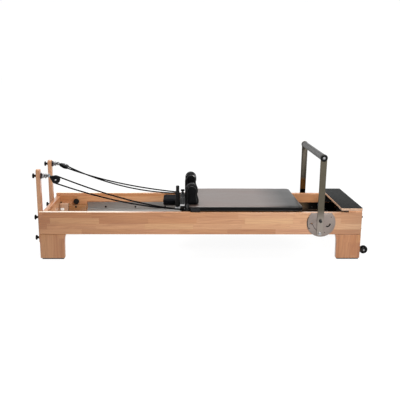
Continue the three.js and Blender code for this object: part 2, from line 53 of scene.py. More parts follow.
# ------------------------------------------------------------------ camera
def make_camera():
    f, loc = 602.0 / 400.0, Vector((-0.148, -4.646, 1.485))
    th, ps, ro = math.radians(13.41), math.radians(1.79), math.radians(0.55)
    fwd = Vector((math.cos(th) * math.sin(ps), math.cos(th) * math.cos(ps), -math.sin(th)))
    right = Vector((math.cos(ps), -math.sin(ps), 0.0))
    down = fwd.cross(right)
    r2 = math.cos(ro) * right - math.sin(ro) * down
    d2 = math.sin(ro) * right + math.cos(ro) * down
    cam = bpy.data.cameras.new("camera")
    cam.sensor_fit, cam.sensor_width, cam.lens = "HORIZONTAL", 36.0, 36.0 * f
    cam.clip_start, cam.clip_end = 0.05, 60.0
    o = bpy.data.objects.new("camera", cam)
    o.matrix_world = Matrix(((r2.x, -d2.x, -fwd.x, loc.x), (r2.y, -d2.y, -fwd.y, loc.y), (r2.z, -d2.z, -fwd.z, loc.z), (0, 0, 0, 1)))
    scene.collection.objects.link(o)
    scene.camera = o
make_camera()

# ------------------------------------------------------------------ node helpers
def lin(r, g, b):
    out = []
    for c in (r, g, b):
        c /= 255.0
        out.append(c / 12.92 if c <= 0.04045 else ((c + 0.055) / 1.055) ** 2.4)
    return (*out, 1.0)

class Mat:
    """A small builder for node materials."""
    def __init__(self, name):
        self.m = bpy.data.materials.new(name)
        self.m.use_nodes = True
        self.t = self.m.node_tree
        self.t.nodes.clear()
        self.out = self.t.nodes.new("ShaderNodeOutputMaterial")
        self.b = self.t.nodes.new("ShaderNodeBsdfPrincipled")
        self.t.links.new(self.b.outputs[0], self.out.inputs[0])
        self.tc = self.t.nodes.new("ShaderNodeTexCoord")
    def put(self, sock, v):
        if isinstance(v, bpy.types.NodeSocket):
            self.t.links.new(v, sock)
        elif v is not None:
            sock.default_value = v
    def math(self, op, a, b=None, c=None, clamp=False):
        n = self.t.nodes.new("ShaderNodeMath"); n.operation = op; n.use_clamp = clamp
        self.put(n.inputs[0], a); self.put(n.inputs[1], b)
        if c is not None: self.put(n.inputs[2], c)
        return n.outputs[0]
    def vmath(self, op, a, b=None, scale=None):
        n = self.t.nodes.new("ShaderNodeVectorMath"); n.operation = op
        self.put(n.inputs[0], a)
        if b is not None: self.put(n.inputs[1], b)
        if scale is not None: self.put(n.inputs[3], scale)
        return n.outputs[0] if op not in ("LENGTH", "DOT_PRODUCT", "DISTANCE") else n.outputs[1]
    def xyz(self, v):
        n = self.t.nodes.new("ShaderNodeSeparateXYZ"); self.put(n.inputs[0], v)
        return n.outputs[0], n.outputs[1], n.outputs[2]
    def join(self, x, y, z):
        n = self.t.nodes.new("ShaderNodeCombineXYZ")
        for i, v in enumerate((x, y, z)): self.put(n.inputs[i], v)
        return n.outputs[0]
    def noise(self, vec, scale=5.0, detail=3.0, rough=0.5, dist=0.0, color=False):
        n = self.t.nodes.new("ShaderNodeTexNoise")
        self.put(n.inputs["Vector"], vec); self.put(n.inputs["Scale"], scale); self.put(n.inputs["Detail"], detail)
        self.put(n.inputs["Roughness"], rough); self.put(n.inputs["Distortion"], dist)
        return n.outputs["Color"] if color else n.outputs[0]
    def white(self, vec, color=False):
        n = self.t.nodes.new("ShaderNodeTexWhiteNoise"); n.noise_dimensions = "3D"; self.put(n.inputs["Vector"], vec)
        return n.outputs["Color"] if color else n.outputs["Value"]
    def voronoi(self, vec, scale, feature="F1", rand=1.0):
        n = self.t.nodes.new("ShaderNodeTexVoronoi"); n.feature = feature
        self.put(n.inputs["Vector"], vec); self.put(n.inputs["Scale"], scale); self.put(n.inputs["Randomness"], rand)
        return n.outputs["Distance"]
    def ramp(self, fac, stops, interp="LINEAR"):
        n = self.t.nodes.new("ShaderNodeValToRGB"); n.color_ramp.interpolation = interp
        e = n.color_ramp.elements
        while len(e) < len(stops): e.new(0.5)
        for i, (p, c) in enumerate(stops): e[i].position, e[i].color = p, c if len(c) == 4 else (*c, 1)
        self.put(n.inputs[0], fac)
        return n.outputs[0]
    def mix(self, fac, a, b, mode="MIX"):
        n = self.t.nodes.new("ShaderNodeMix"); n.data_type = "RGBA"; n.blend_type = mode
        self.put(n.inputs[0], fac); self.put(n.inputs[6], a); self.put(n.inputs[7], b)
        return n.outputs[2]
    def range(self, v, a, b, c=0.0, d=1.0):
        n = self.t.nodes.new("ShaderNodeMapRange")
        for i, s in enumerate((v, a, b, c, d)): self.put(n.inputs[i], s)
        return n.outputs[0]
    def bump(self, height, dist=0.001, strength=1.0, normal=None):
        n = self.t.nodes.new("ShaderNodeBump")
        self.put(n.inputs["Height"], height); self.put(n.inputs["Distance"], dist); self.put(n.inputs["Strength"], strength)
        if normal is not None: self.put(n.inputs["Normal"], normal)
        return n.outputs[0]
    def set(self, **kw):
        for k, v in kw.items():
            self.put(self.b.inputs[k.replace("_", " ")], v)
        return self

MATS = {}
def cached(fn):
    def w(*a, **k):
        key = (fn.__name__, a, tuple(sorted(k.items())))
        if key not in MATS: MATS[key] = fn(*a, **k)
        return MATS[key]
    return w

# ------------------------------------------------------------------ materials
@cached
def wood(axis, seed=0.0, tone="frame", strip=0.043, block=0.36, tone_and_painted_light=(), painted_top_glare=False):
    """Edge-glued, finger-jointed hardwood under satin varnish; axis is the way the grain runs.
    tone_and_painted_light: (x, r, g, b) multipliers along the frame, partly an overall tone correction and partly
    painted light and shadow; painted_top_glare: a painted highlight, a pale glare line on the top arris, strongest
    towards the head end."""
    k = Mat(f"wood_{axis}_{tone}_{seed:g}")
    x, y, z = k.xyz(k.tc.outputs["Object"])
    u, v, w = {"x": (x, z, y), "y": (y, z, x), "z": (z, x, y), "p": (y, x, z)}[axis]
    vr = k.math("ADD", k.math("DIVIDE", v, strip), 0.37 + seed)
    row = k.math("FLOOR", vr)
    rr = k.white(k.join(row, seed, 3.1))
    zig = k.math("PINGPONG", k.math("DIVIDE", v, 0.0052), 1.0)
    ub = k.math("ADD", k.math("DIVIDE", k.math("ADD", u, k.math("MULTIPLY", zig, 0.006)), block), k.math("MULTIPLY", rr, 7.3))
    blk = k.math("FLOOR", ub)
    cell = k.join(row, blk, seed + 0.5)
    tone_v, tone_c = k.white(cell), k.white(k.vmath("ADD", cell, (5.5, 2.2, 0.0)), color=True)
    if tone == "frame":
        stops = [(0.0, lin(166, 107, 68)), (0.22, lin(190, 132, 88)), (0.42, lin(182, 125, 84)), (0.62, lin(206, 154, 113)), (0.8, lin(190, 132, 98)), (1.0, lin(209, 162, 117))]
    elif tone == "leg":
        stops = [(0.0, lin(168, 110, 72)), (0.22, lin(178, 120, 79)), (0.42, lin(182, 126, 85)), (0.62, lin(186, 131, 92)), (0.8, lin(181, 125, 89)), (1.0, lin(189, 138, 94))]
    # painted shadow: a darker copy of the frame wood, for the stop blocks inside the rails
    elif tone == "block":
        stops = [(0.0, lin(122, 76, 34)), (0.22, lin(131, 84, 38)), (0.42, lin(135, 88, 40)), (0.62, lin(139, 92, 44)), (0.8, lin(134, 87, 42)), (1.0, lin(141, 97, 46))]
    elif tone == "pale":
        stops = [(0.0, lin(176, 146, 122)), (0.5, lin(186, 156, 132)), (1.0, lin(196, 166, 142))]
    elif tone == "riser":
        stops = [(0.0, lin(166, 116, 84)), (0.35, lin(182, 134, 98)), (0.65, lin(178, 122, 96)), (1.0, lin(200, 152, 110))]
    else:
        stops = [(0.0, lin(176, 138, 98)), (0.5, lin(190, 152, 112)), (1.0, lin(200, 164, 124))]
    base = k.ramp(tone_v, stops)
    off = k.vmath("SCALE", tone_c, scale=9.0)
    p = k.join(u, v, w)
    fine = k.noise(k.vmath("ADD", k.vmath("MULTIPLY", p, (5.0, 160.0, 160.0)), off), 1.0, 6.0, 0.62)
    broad = k.noise(k.vmath("ADD", k.vmath("MULTIPLY", p, (1.6, 22.0, 22.0)), off), 1.0, 3.0, 0.5, 0.6)
    bow = k.noise(k.vmath("ADD", k.vmath("MULTIPLY", p, (2.1, 9.0, 9.0)), off), 1.0, 2.0, 0.5)
    ring = k.math("SINE", k.math("MULTIPLY", k.math("ADD", k.math("MULTIPLY", v, 34.0), k.math("MULTIPLY", bow, 5.0)), 9.0))
    ring = k.range(ring, -1.0, 1.0, 0.0, 1.0)
    pores = k.noise(k.vmath("MULTIPLY", p, (42.0, 1500.0, 1500.0)), 1.0, 2.0, 0.5)
    dark = k.mix(1.0, base, lin(150, 100, 66), "MULTIPLY")
    c = k.mix(k.range(fine, 0.38, 0.68, 0.0, 0.34), base, dark)
    c = k.mix(k.math("MULTIPLY", k.range(ring, 0.55, 1.0), 0.17), c, dark)
    c = k.mix(k.range(broad, 0.3, 0.75, 0.0, 0.34), c, lin(208, 160, 116))
    c = k.mix(k.range(pores, 0.60, 0.72, 0.0, 0.35), c, lin(112, 70, 44))
    fr = k.math("FRACT", vr); seam = k.math("GREATER_THAN", k.math("ABSOLUTE", k.math("SUBTRACT", fr, 0.5)), 0.5 - 0.0003 / strip)
    fb = k.math("FRACT", ub); joint = k.math("GREATER_THAN", k.math("ABSOLUTE", k.math("SUBTRACT", fb, 0.5)), 0.5 - 0.0004 / block)
    line = k.math("MAXIMUM", seam, joint)
    c = k.mix(k.math("MULTIPLY", line, 0.34), c, lin(104, 66, 44))
    smudge = k.noise(k.tc.outputs["Object"], 3.2, 4.0, 0.6)
    c = k.mix(k.range(smudge, 0.35, 0.7, 0.0, 0.16), c, lin(176, 122, 84))
    # painted light: multipliers along x, partly an overall tone correction and partly painted light and shadow
    if tone_and_painted_light:
        m = (*tone_and_painted_light[0][1:], 1)
        for (xa, *_), (xb, *t) in zip(tone_and_painted_light, tone_and_painted_light[1:]): m = k.mix(k.range(x, xa, xb), m, (*t, 1))
        c = k.mix(1.0, c, m, "MULTIPLY")
    # painted highlight: a pale glare line along the top arris, strongest towards the head end and gone by x -0.36
    if painted_top_glare:
        c = k.mix(k.math("MULTIPLY", k.range(z, 0.3618, 0.3626), k.range(x, -0.62, -0.36, 0.85, 0.0)), c, lin(244, 230, 212))
    h = k.math("ADD", k.math("MULTIPLY", fine, 0.5), k.math("MULTIPLY", line, -0.7))
    k.set(Base_Color=c, Roughness=k.range(smudge, 0.3, 0.7, 0.30, 0.44), Normal=k.bump(h, 0.00025, 0.35),
          Coat_Weight=0.5, Coat_Roughness=0.12, Specular_IOR_Level=0.45)
    return k.m

@cached
def vinyl(name="black", col=(13, 13, 14), rough=0.40, spec=0.5):
    """Upholstery vinyl with a pebble grain, faint creases and rubbed high spots."""
    k = Mat(f"vinyl_{name}")
    o = k.tc.outputs["Object"]
    peb = k.voronoi(o, 620.0)
    fine = k.noise(o, 1500.0, 2.0, 0.5)
    crease = k.noise(k.vmath("ADD", o, k.vmath("SCALE", k.noise(o, 6.0, 2.0, 0.5, color=True), scale=0.08)), 14.0, 5.0, 0.55)
    cloud = k.noise(o, 4.0, 4.0, 0.55)
    c = k.mix(k.range(cloud, 0.3, 0.75), lin(*col), lin(col[0] + 9, col[1] + 9, col[2] + 9))
    c = k.mix(k.range(peb, 0.0, 0.6, 0.35, 0.0), c, lin(7, 7, 8))
    h = k.math("ADD", k.math("MULTIPLY", peb, 0.9), k.math("MULTIPLY", fine, 0.25))
    n1 = k.bump(crease, 0.006, 0.10)
    n2 = k.bump(h, 0.0004, 0.30, n1)
    k.set(Base_Color=c, Roughness=k.range(cloud, 0.3, 0.7, rough - 0.05, rough + 0.07), Normal=n2, Specular_IOR_Level=spec)
    return k.m

@cached
def cover():
    """Carriage cushion cover: glossy top painted lighter than the sides, a painted reflection that is palest towards
    the head end; the upright sides are matte and near black.
    """
    k = Mat("cushion_cover")
    o = k.tc.outputs["Object"]
    x, y, z = k.xyz(o)
    # painted reflection: the top (z above 0.395) is painted lighter than the sides, a pale warm grey up to x 0.44,
    # fading out by x 0.66
    up, painted_reflection_fade = k.range(z, 0.395, 0.403), k.range(x, 0.44, 0.66, 1.0, 0.0)
    peb = k.voronoi(o, 620.0)
    fine = k.noise(o, 1500.0, 2.0, 0.5)
    crease = k.noise(k.vmath("ADD", o, k.vmath("SCALE", k.noise(o, 6.0, 2.0, 0.5, color=True), scale=0.08)), 14.0, 5.0, 0.55)
    cloud = k.noise(k.vmath("MULTIPLY", o, (2.0, 7.0, 4.0)), 1.0, 4.0, 0.55)
    side = k.mix(k.range(cloud, 0.3, 0.75), lin(5, 5, 6), lin(11, 11, 12))
    top = k.mix(painted_reflection_fade, k.mix(k.range(cloud, 0.35, 0.7), lin(16, 15, 15), lin(27, 26, 25)), k.mix(k.range(cloud, 0.35, 0.7), lin(72, 58, 52), lin(86, 70, 64)))
    c = k.mix(up, side, top)
    c = k.mix(k.range(peb, 0.0, 0.6, 0.3, 0.0), c, lin(7, 7, 8))
    n = k.bump(k.math("ADD", k.math("MULTIPLY", peb, 0.9), k.math("MULTIPLY", fine, 0.25)), 0.0004, 0.30, k.bump(crease, 0.005, 0.08))
    k.set(Base_Color=c, Roughness=k.range(cloud, 0.3, 0.7, 0.30, 0.40), Normal=n,
          Specular_Tint=(1.0, 0.955, 0.93, 1), Specular_IOR_Level=k.math("ADD", 0.08, k.math("MULTIPLY", up, k.math("ADD", 0.20, k.math("MULTIPLY", painted_reflection_fade, 0.66)))))
    return k.m

@cached
def rubber(name="rubber", col=(15, 15, 15), rough=0.72, grip=False):
    k = Mat(f"rubber_{name}")
    o = k.tc.outputs["Object"]
    dust = k.noise(o, 38.0, 5.0, 0.6)
    c = k.mix(k.range(dust, 0.42, 0.8, 0.0, 0.5), lin(*col), lin(col[0] + 16, col[1] + 16, col[2] + 15))
    if grip:
        x, y, z = k.xyz(o)
        g = k.voronoi(k.join(x, y, 0.0), 420.0)
        h = k.math("ADD", k.range(g, 0.1, 0.5, 1.0, 0.0), k.math("MULTIPLY", k.noise(o, 900.0, 2.0), 0.5))
        c = k.mix(k.range(g, 0.2, 0.6, 0.0, 0.5), c, lin(12, 12, 12))
        n = k.bump(h, 0.0008, 0.6)
    else:
        n = k.bump(k.noise(o, 700.0, 3.0, 0.6), 0.0003, 0.4)
    k.set(Base_Color=c, Roughness=k.range(dust, 0.3, 0.7, rough - 0.06, rough + 0.08), Normal=n, Specular_IOR_Level=0.16 if grip else 0.25)
    return k.m

@cached
def plastic(name="plastic", col=(12, 12, 13), rough=0.38, spec=0.3):
    k = Mat(f"plastic_{name}")
    o = k.tc.outputs["Object"]
    n = k.noise(o, 900.0, 3.0, 0.6); w = k.noise(o, 22.0, 5.0, 0.65)
    c = k.mix(k.range(w, 0.45, 0.75, 0.0, 0.5), lin(*col), lin(col[0] + 10, col[1] + 10, col[2] + 11))
    k.set(Base_Color=c, Roughness=k.range(w, 0.3, 0.7, rough - 0.06, rough + 0.12), Normal=k.bump(n, 0.0002, 0.25), Specular_IOR_Level=spec)
    return k.m

@cached
def metal(name="steel", col=(150, 144, 134), rough=0.24, axis="z", streak=1.0, dirt=(84, 72, 60), painted_light_bands=()):
    """Brushed or polished metal: streaks along an axis, smudges and darker handled patches."""
    k = Mat(f"metal_{name}")
    o = k.tc.outputs["Object"]
    s = {"x": (6.0, 900.0, 900.0), "y": (900.0, 6.0, 900.0), "z": (900.0, 900.0, 6.0), "n": (420.0, 420.0, 420.0)}[axis]
    st = k.noise(k.vmath("MULTIPLY", o, s), 1.0, 4.0, 0.6)
    sm = k.noise(o, 9.0, 5.0, 0.62)
    c = k.mix(k.range(st, 0.35, 0.68, 0.0, 0.32 * streak), lin(*col), lin(*dirt))
    c = k.mix(k.range(sm, 0.42, 0.8, 0.0, 0.45), c, lin(*dirt))
    if painted_light_bands:   # painted light: bands of painted reflection and painted shadow along one axis, (axis index, from, to, r, g, b) per band
        p = k.xyz(o)
        for ax, a, b, *t in painted_light_bands:
            c = k.mix(k.range(p[ax], a, b), c, lin(*t))
    r = k.math("ADD", k.range(sm, 0.3, 0.7, rough - 0.05, rough + 0.12), k.math("MULTIPLY", k.math("SUBTRACT", st, 0.5), 0.18 * streak))
    k.set(Base_Color=c, Metallic=1.0, Roughness=r, Normal=k.bump(st, 0.00012, 0.35 * streak))
    return k.m

@cached
def ribbed():
    """Grip sleeve: fine moulded ridges round the bar, crossed by a shallow spiral; one side of the bar is darkened as a
    painted shadow.
    """
    k = Mat("grip_sleeve")
    o = k.tc.outputs["Object"]
    x, y, z = k.xyz(o)
    a = k.math("ARCTAN2", k.math("SUBTRACT", z, 0.776), k.math("SUBTRACT", x, 0.884))
    r1 = k.math("SINE", k.math("ADD", k.math("MULTIPLY", y, 1250.0), k.math("MULTIPLY", a, 6.0)))
    r2 = k.math("SINE", k.math("SUBTRACT", k.math("MULTIPLY", y, 1250.0), k.math("MULTIPLY", a, 6.0)))
    h = k.math("MAXIMUM", r1, r2)
    d = k.noise(o, 30.0, 5.0, 0.6)
    c = k.mix(k.range(h, -0.6, 0.9), lin(46, 45, 45), lin(88, 87, 86))
    c = k.mix(k.range(d, 0.4, 0.75, 0.0, 0.4), c, lin(72, 70, 68))
    # painted shadow: a band round the angle 2.05 rad about the bar's axis, its upper side, is darkened
    c = k.mix(k.range(k.math("ABSOLUTE", k.math("SUBTRACT", a, 2.05)), 0.0, 0.55, 0.85, 0.0), c, lin(20, 19, 19))
    k.set(Base_Color=c, Roughness=k.range(d, 0.3, 0.7, 0.52, 0.66), Normal=k.bump(h, 0.0005, 0.5), Specular_IOR_Level=0.4)
    return k.m

@cached
def braid(name="rope", col=(6, 6, 7), pitch=0.0085, around=4.0):
    """Braided cord, by the tube's own UVs: u runs in metres along it, v once round it."""
    k = Mat(f"braid_{name}")
    u, v, _ = k.xyz(k.tc.outputs["UV"])
    a = k.math("ADD", k.math("DIVIDE", u, pitch), k.math("MULTIPLY", v, around))
    b = k.math("SUBTRACT", k.math("DIVIDE", u, pitch), k.math("MULTIPLY", v, around))
    sa = k.math("ABSOLUTE", k.math("SINE", k.math("MULTIPLY", a, math.pi)))
    sb = k.math("ABSOLUTE", k.math("SINE", k.math("MULTIPLY", b, math.pi)))
    over = k.math("GREATER_THAN", k.math("SINE", k.math("MULTIPLY", k.math("ADD", k.math("FLOOR", a), k.math("FLOOR", b)), math.pi / 2)), 0.0)
    h = k.math("ADD", k.math("MULTIPLY", sa, sb), k.math("MULTIPLY", over, 0.12))
    fib = k.noise(k.join(k.math("MULTIPLY", u, 400.0), k.math("MULTIPLY", v, 90.0), 0.0), 1.0, 3.0, 0.6)
    c = k.mix(k.range(h, 0.1, 0.9), lin(2, 2, 3), lin(col[0] + 7, col[1] + 7, col[2] + 8))
    c = k.mix(k.range(fib, 0.4, 0.7, 0.0, 0.4), c, lin(*col))
    k.set(Base_Color=c, Roughness=0.74, Normal=k.bump(k.math("ADD", h, k.math("MULTIPLY", fib, 0.2)), 0.0008, 0.8), Specular_IOR_Level=0.06)
    return k.m

@cached
def webbing(name="webbing", col=(14, 14, 16), axis="z"):
    """Woven strap: ribs across, yarns along, paler patches."""
    k = Mat(f"weave_{name}")
    x, y, z = k.xyz(k.tc.outputs["Object"])
    rib = k.math("SINE", k.math("MULTIPLY", y, 2300.0))
    wrp = k.math("SINE", k.math("MULTIPLY", k.math("ADD", k.math("ADD", x, z), 0.0), 3400.0))
    d = k.noise(k.tc.outputs["Object"], 60.0, 4.0, 0.6)
    h = k.math("ADD", k.math("MULTIPLY", rib, 0.6), k.math("MULTIPLY", wrp, 0.4))
    c = k.mix(k.range(h, -0.7, 0.8), lin(7, 7, 8), lin(col[0] + 12, col[1] + 12, col[2] + 13))
    c = k.mix(k.range(d, 0.4, 0.75, 0.0, 0.35), c, lin(34, 34, 37))
    k.set(Base_Color=c, Roughness=0.78, Normal=k.bump(h, 0.0006, 0.7), Sheen_Weight=0.05, Specular_IOR_Level=0.2)
    return k.m

@cached
def thread(col=(44, 43, 43)):
    k = Mat("thread")
    n = k.noise(k.tc.outputs["Object"], 2600.0, 2.0)
    k.set(Base_Color=k.mix(n, lin(*col), lin(col[0] - 20, col[1] - 20, col[2] - 20)), Roughness=0.7, Normal=k.bump(n, 0.0002, 0.5))
    return k.m

@cached
def rest_cloth(name="rest", col=(5, 5, 7)):
    """Open-knit cover of the shoulder rests: upright ribs with small eyelets between them."""
    k = Mat(f"knit_{name}")
    o = k.tc.outputs["Object"]
    x, y, z = k.xyz(o)
    rib = k.math("SINE", k.math("MULTIPLY", k.math("ADD", x, k.math("MULTIPLY", y, 0.6)), 1450.0))
    row = k.math("SINE", k.math("MULTIPLY", z, 1700.0))
    d = k.noise(o, 26.0, 5.0, 0.6)
    h = k.math("ADD", k.math("MULTIPLY", rib, 0.7), k.math("MULTIPLY", k.math("MULTIPLY", rib, row), 0.3))
    c = k.mix(k.range(h, -0.7, 0.9), lin(2, 2, 3), lin(col[0] + 6, col[1] + 6, col[2] + 6))
    c = k.mix(k.range(d, 0.45, 0.78, 0.0, 0.3), c, lin(14, 14, 15))
    n = k.bump(h, 0.0006, 0.55, k.bump(k.noise(o, 20.0, 4.0, 0.5), 0.004, 0.10))
    k.set(Base_Color=c, Roughness=k.range(d, 0.3, 0.7, 0.56, 0.70), Normal=n, Specular_IOR_Level=0.07)
    return k.m

@cached
def suede(name="headrest", col=(6, 7, 12)):
    """Matte napped cover: short fibres, brushed patches and no gloss."""
    k = Mat(f"nap_{name}")
    o = k.tc.outputs["Object"]
    nap = k.noise(o, 1900.0, 3.0, 0.6); patch = k.noise(o, 18.0, 5.0, 0.62)
    c = k.mix(k.range(patch, 0.35, 0.7), lin(*col), lin(col[0] + 5, col[1] + 5, col[2] + 6))
    c = k.mix(k.range(nap, 0.4, 0.7, 0.0, 0.5), c, lin(4, 5, 8))
    n = k.bump(nap, 0.0004, 0.6, k.bump(patch, 0.003, 0.12))
    k.set(Base_Color=c, Roughness=k.range(patch, 0.3, 0.7, 0.80, 0.92), Normal=n, Specular_IOR_Level=0.09)
    return k.m

@cached
def laminate(spec=0.2):
    """Black-faced board: fine orange-peel, scuffs along it."""
    k = Mat("deck_laminate")
    o = k.tc.outputs["Object"]
    peel = k.noise(o, 420.0, 3.0, 0.55); scuff = k.noise(k.vmath("MULTIPLY", o, (9.0, 60.0, 60.0)), 1.0, 5.0, 0.65)
    c = k.mix(k.range(scuff, 0.5, 0.8, 0.0, 0.6), lin(14, 13, 13), lin(34, 32, 31))
    k.set(Base_Color=c, Roughness=k.range(scuff, 0.3, 0.7, 0.34, 0.5), Normal=k.bump(peel, 0.0002, 0.3), Specular_IOR_Level=spec)
    return k.m

# ------------------------------------------------------------------ mesh helpers
def link(name, me, mat=None):
    o = bpy.data.objects.new(name, me)
    scene.collection.objects.link(o)
    if mat is not None: me.materials.append(mat)
    return o

def smooth(me, angle=32):
    me.shade_smooth()
    me.set_sharp_from_angle(angle=math.radians(angle))

def from_bm(name, bm, mat, angle=32):
    bmesh.ops.recalc_face_normals(bm, faces=bm.faces)
    me = bpy.data.meshes.new(name)
    bm.to_mesh(me); bm.free()
    smooth(me, angle)
    return link(name, me, mat)

def rbox(name, lo, hi, r, mat, seg=3, body=None, nodes=()):
    """A block with every edge eased."""
    bm = bmesh.new()
    bmesh.ops.create_cube(bm, size=1.0)
    for v in bm.verts:
        v.co = Vector([lo[i] if v.co[i] < 0 else hi[i] for i in range(3)]) * MM
    bmesh.ops.bevel(bm, geom=bm.edges[:], offset=r * MM, segments=seg, profile=0.5, affect="EDGES", clamp_overlap=True)
    o = from_bm(name, bm, mat)
    return place(o, body, nodes)

def prism(name, pts, axis, w0, w1, mat, bevel=1.5, seg=2, body=None, nodes=(), holes=(), limit=25):
    """Extrude an outline; (u, v) is (Y, Z) for x, (Z, X) for y, (X, Y) for z."""
    M = {"x": lambda u, v, w: (w, u, v), "y": lambda u, v, w: (v, w, u), "z": lambda u, v, w: (u, v, w)}[axis]
    bm = bmesh.new()
    loops = [pts, *holes]
    edges = []
    for loop in loops:
        vs = [bm.verts.new(Vector(M(u, v, w0)) * MM) for u, v in loop]
        edges += [bm.edges.new((vs[i], vs[(i + 1) % len(vs)])) for i in range(len(vs))]
    bmesh.ops.triangle_fill(bm, edges=edges, use_beauty=True)
    bmesh.ops.dissolve_limit(bm, angle_limit=0.01, verts=bm.verts[:], edges=[e for e in bm.edges if not e.is_boundary])
    ext = bmesh.ops.extrude_face_region(bm, geom=bm.faces[:])
    d = Vector(M(0, 0, w1 - w0)) * MM
    bmesh.ops.translate(bm, vec=d, verts=[g for g in ext["geom"] if isinstance(g, bmesh.types.BMVert)])
    bmesh.ops.recalc_face_normals(bm, faces=bm.faces)
    if bevel:
        es = [e for e in bm.edges if len(e.link_faces) == 2 and e.calc_face_angle(0) > math.radians(limit)]
        bmesh.ops.bevel(bm, geom=es, offset=bevel * MM, segments=seg, profile=0.5, affect="EDGES", clamp_overlap=True)
    o = from_bm(name, bm, mat)
    return place(o, body, nodes)

def arc(cu, cv, r, a0, a1, n):
    return [(cu + r * math.cos(a0 + (a1 - a0) * i / n), cv + r * math.sin(a0 + (a1 - a0) * i / n)) for i in range(n + 1)]

def lathe(name, profile, axis, origin, mat, seg=48, body=None, nodes=(), lobes=0, lobe_amp=0.0, closed=False, angle=32):
    """Turn (r, h) points about an axis through origin. Points on the axis are shared poles."""
    bm = bmesh.new()
    ax = {"x": (Vector((0, 1, 0)), Vector((0, 0, 1)), Vector((1, 0, 0))), "-x": (Vector((0, 1, 0)), Vector((0, 0, 1)), Vector((-1, 0, 0))),
          "y": (Vector((0, 0, 1)), Vector((1, 0, 0)), Vector((0, 1, 0))), "-y": (Vector((0, 0, 1)), Vector((1, 0, 0)), Vector((0, -1, 0))),
          "z": (Vector((1, 0, 0)), Vector((0, 1, 0)), Vector((0, 0, 1)))}[axis]
    O = Vector(origin)
    rings = []
    for r, h in profile:
        if r < 1e-6:
            rings.append([bm.verts.new((O + ax[2] * h) * MM)])
        else:
            ring = []
            for i in range(seg):
                a = 2 * math.pi * i / seg
                rr = r * (1 + (lobe_amp * math.cos(lobes * a) if lobes and r > 12 else 0))
                ring.append(bm.verts.new((O + ax[0] * (rr * math.cos(a)) + ax[1] * (rr * math.sin(a)) + ax[2] * h) * MM))
            rings.append(ring)
    pairs = list(zip(rings, rings[1:])) + ([(rings[-1], rings[0])] if closed else [])
    for a, b in pairs:
        if len(a) == 1 and len(b) == 1: continue
        for i in range(seg):
            j = (i + 1) % seg
            q = [a[0] if len(a) == 1 else a[i], a[0] if len(a) == 1 else a[j], b[0] if len(b) == 1 else b[j], b[0] if len(b) == 1 else b[i]]
            q = [v for n, v in enumerate(q) if v not in q[:n]]
            if len(q) >= 3: bm.faces.new(q)
    o = from_bm(name, bm, mat, angle)
    return place(o, body, nodes)

def place(o, body, nodes=()):
    if nodes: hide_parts(*nodes)
    if body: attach(o, body)
    return o

def dress(node, mat, body, name=None, bevel=0.8, angle=30):
    """A finer copy of a CAD piece, with eased edges and smooth round faces."""
    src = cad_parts[node]
    bm = bmesh.new(); bm.from_mesh(src.data)
    bmesh.ops.remove_doubles(bm, verts=bm.verts, dist=2e-6)
    bmesh.ops.dissolve_limit(bm, angle_limit=0.003, verts=bm.verts[:], edges=bm.edges[:])
    if bevel:
        es = [e for e in bm.edges if len(e.link_faces) == 2 and e.calc_face_angle(0) > math.radians(angle)]
        bmesh.ops.bevel(bm, geom=es, offset=bevel * MM, segments=2, profile=0.5, affect="EDGES", clamp_overlap=True)
    o = from_bm(name or f"{node}_piece", bm, mat, 30)
    return place(o, body, (node,))

def tube_mesh(name, pts, r, mat, sides=10, closed=False, caps=True, uv=True):
    """Tube through points (metres) with parallel-transported rings and UVs in metres along it."""
    bm = bmesh.new()
    uvl = bm.loops.layers.uv.new("UVMap")
    n = len(pts)
    P = [Vector(p) for p in pts]
    T = []
    for i in range(n):
        a = P[(i - 1) % n] if (closed or i > 0) else P[i]
        b = P[(i + 1) % n] if (closed or i < n - 1) else P[i]
        T.append((b - a).normalized())
    N = T[0].orthogonal().normalized()
    rings, length = [], [0.0]
    for i in range(n):
        N = (N - T[i] * N.dot(T[i])).normalized()
        B = T[i].cross(N)
        rings.append([bm.verts.new(P[i] + (N * math.cos(2 * math.pi * k / sides) + B * math.sin(2 * math.pi * k / sides)) * r) for k in range(sides)])
        if i: length.append(length[-1] + (P[i] - P[i - 1]).length)
    length.append(length[-1] + (P[0] - P[-1]).length)
    for i in range(n if closed else n - 1):
        A, B2 = rings[i], rings[(i + 1) % n]
        off = 0
        if closed and i == n - 1:
            off = min(range(sides), key=lambda s: sum((A[k].co - B2[(k + s) % sides].co).length for k in range(sides)))
        for k in range(sides):
            j = (k + 1) % sides
            f = bm.faces.new((A[k], A[j], B2[(j + off) % sides], B2[(k + off) % sides]))
            for lp, (uu, vv) in zip(f.loops, ((length[i], k / sides), (length[i], (k + 1) / sides), (length[i + 1], (k + 1) / sides), (length[i + 1], k / sides))):
                lp[uvl].uv = (uu, vv)
    if caps and not closed:
        bm.faces.new(rings[0][::-1]); bm.faces.new(rings[-1])
    me = bpy.data.meshes.new(name)
    bmesh.ops.recalc_face_normals(bm, faces=bm.faces)
    bm.to_mesh(me); bm.free(); me.shade_smooth(); me.set_sharp_from_angle(angle=math.radians(50))
    return link(name, me, mat)

def hexbolt(name, origin, axis, r, h, mat, body, socket=True):
    """Button head with a hex socket."""
    prof = [(0, h * 0.55), (r * 0.42, h * 0.55), (r * 0.44, h), (r * 0.62, h * 0.97), (r * 0.86, h * 0.78), (r, h * 0.35), (r, 0), (0, 0)]
    return lathe(name, prof, axis, origin, mat, 18, body)

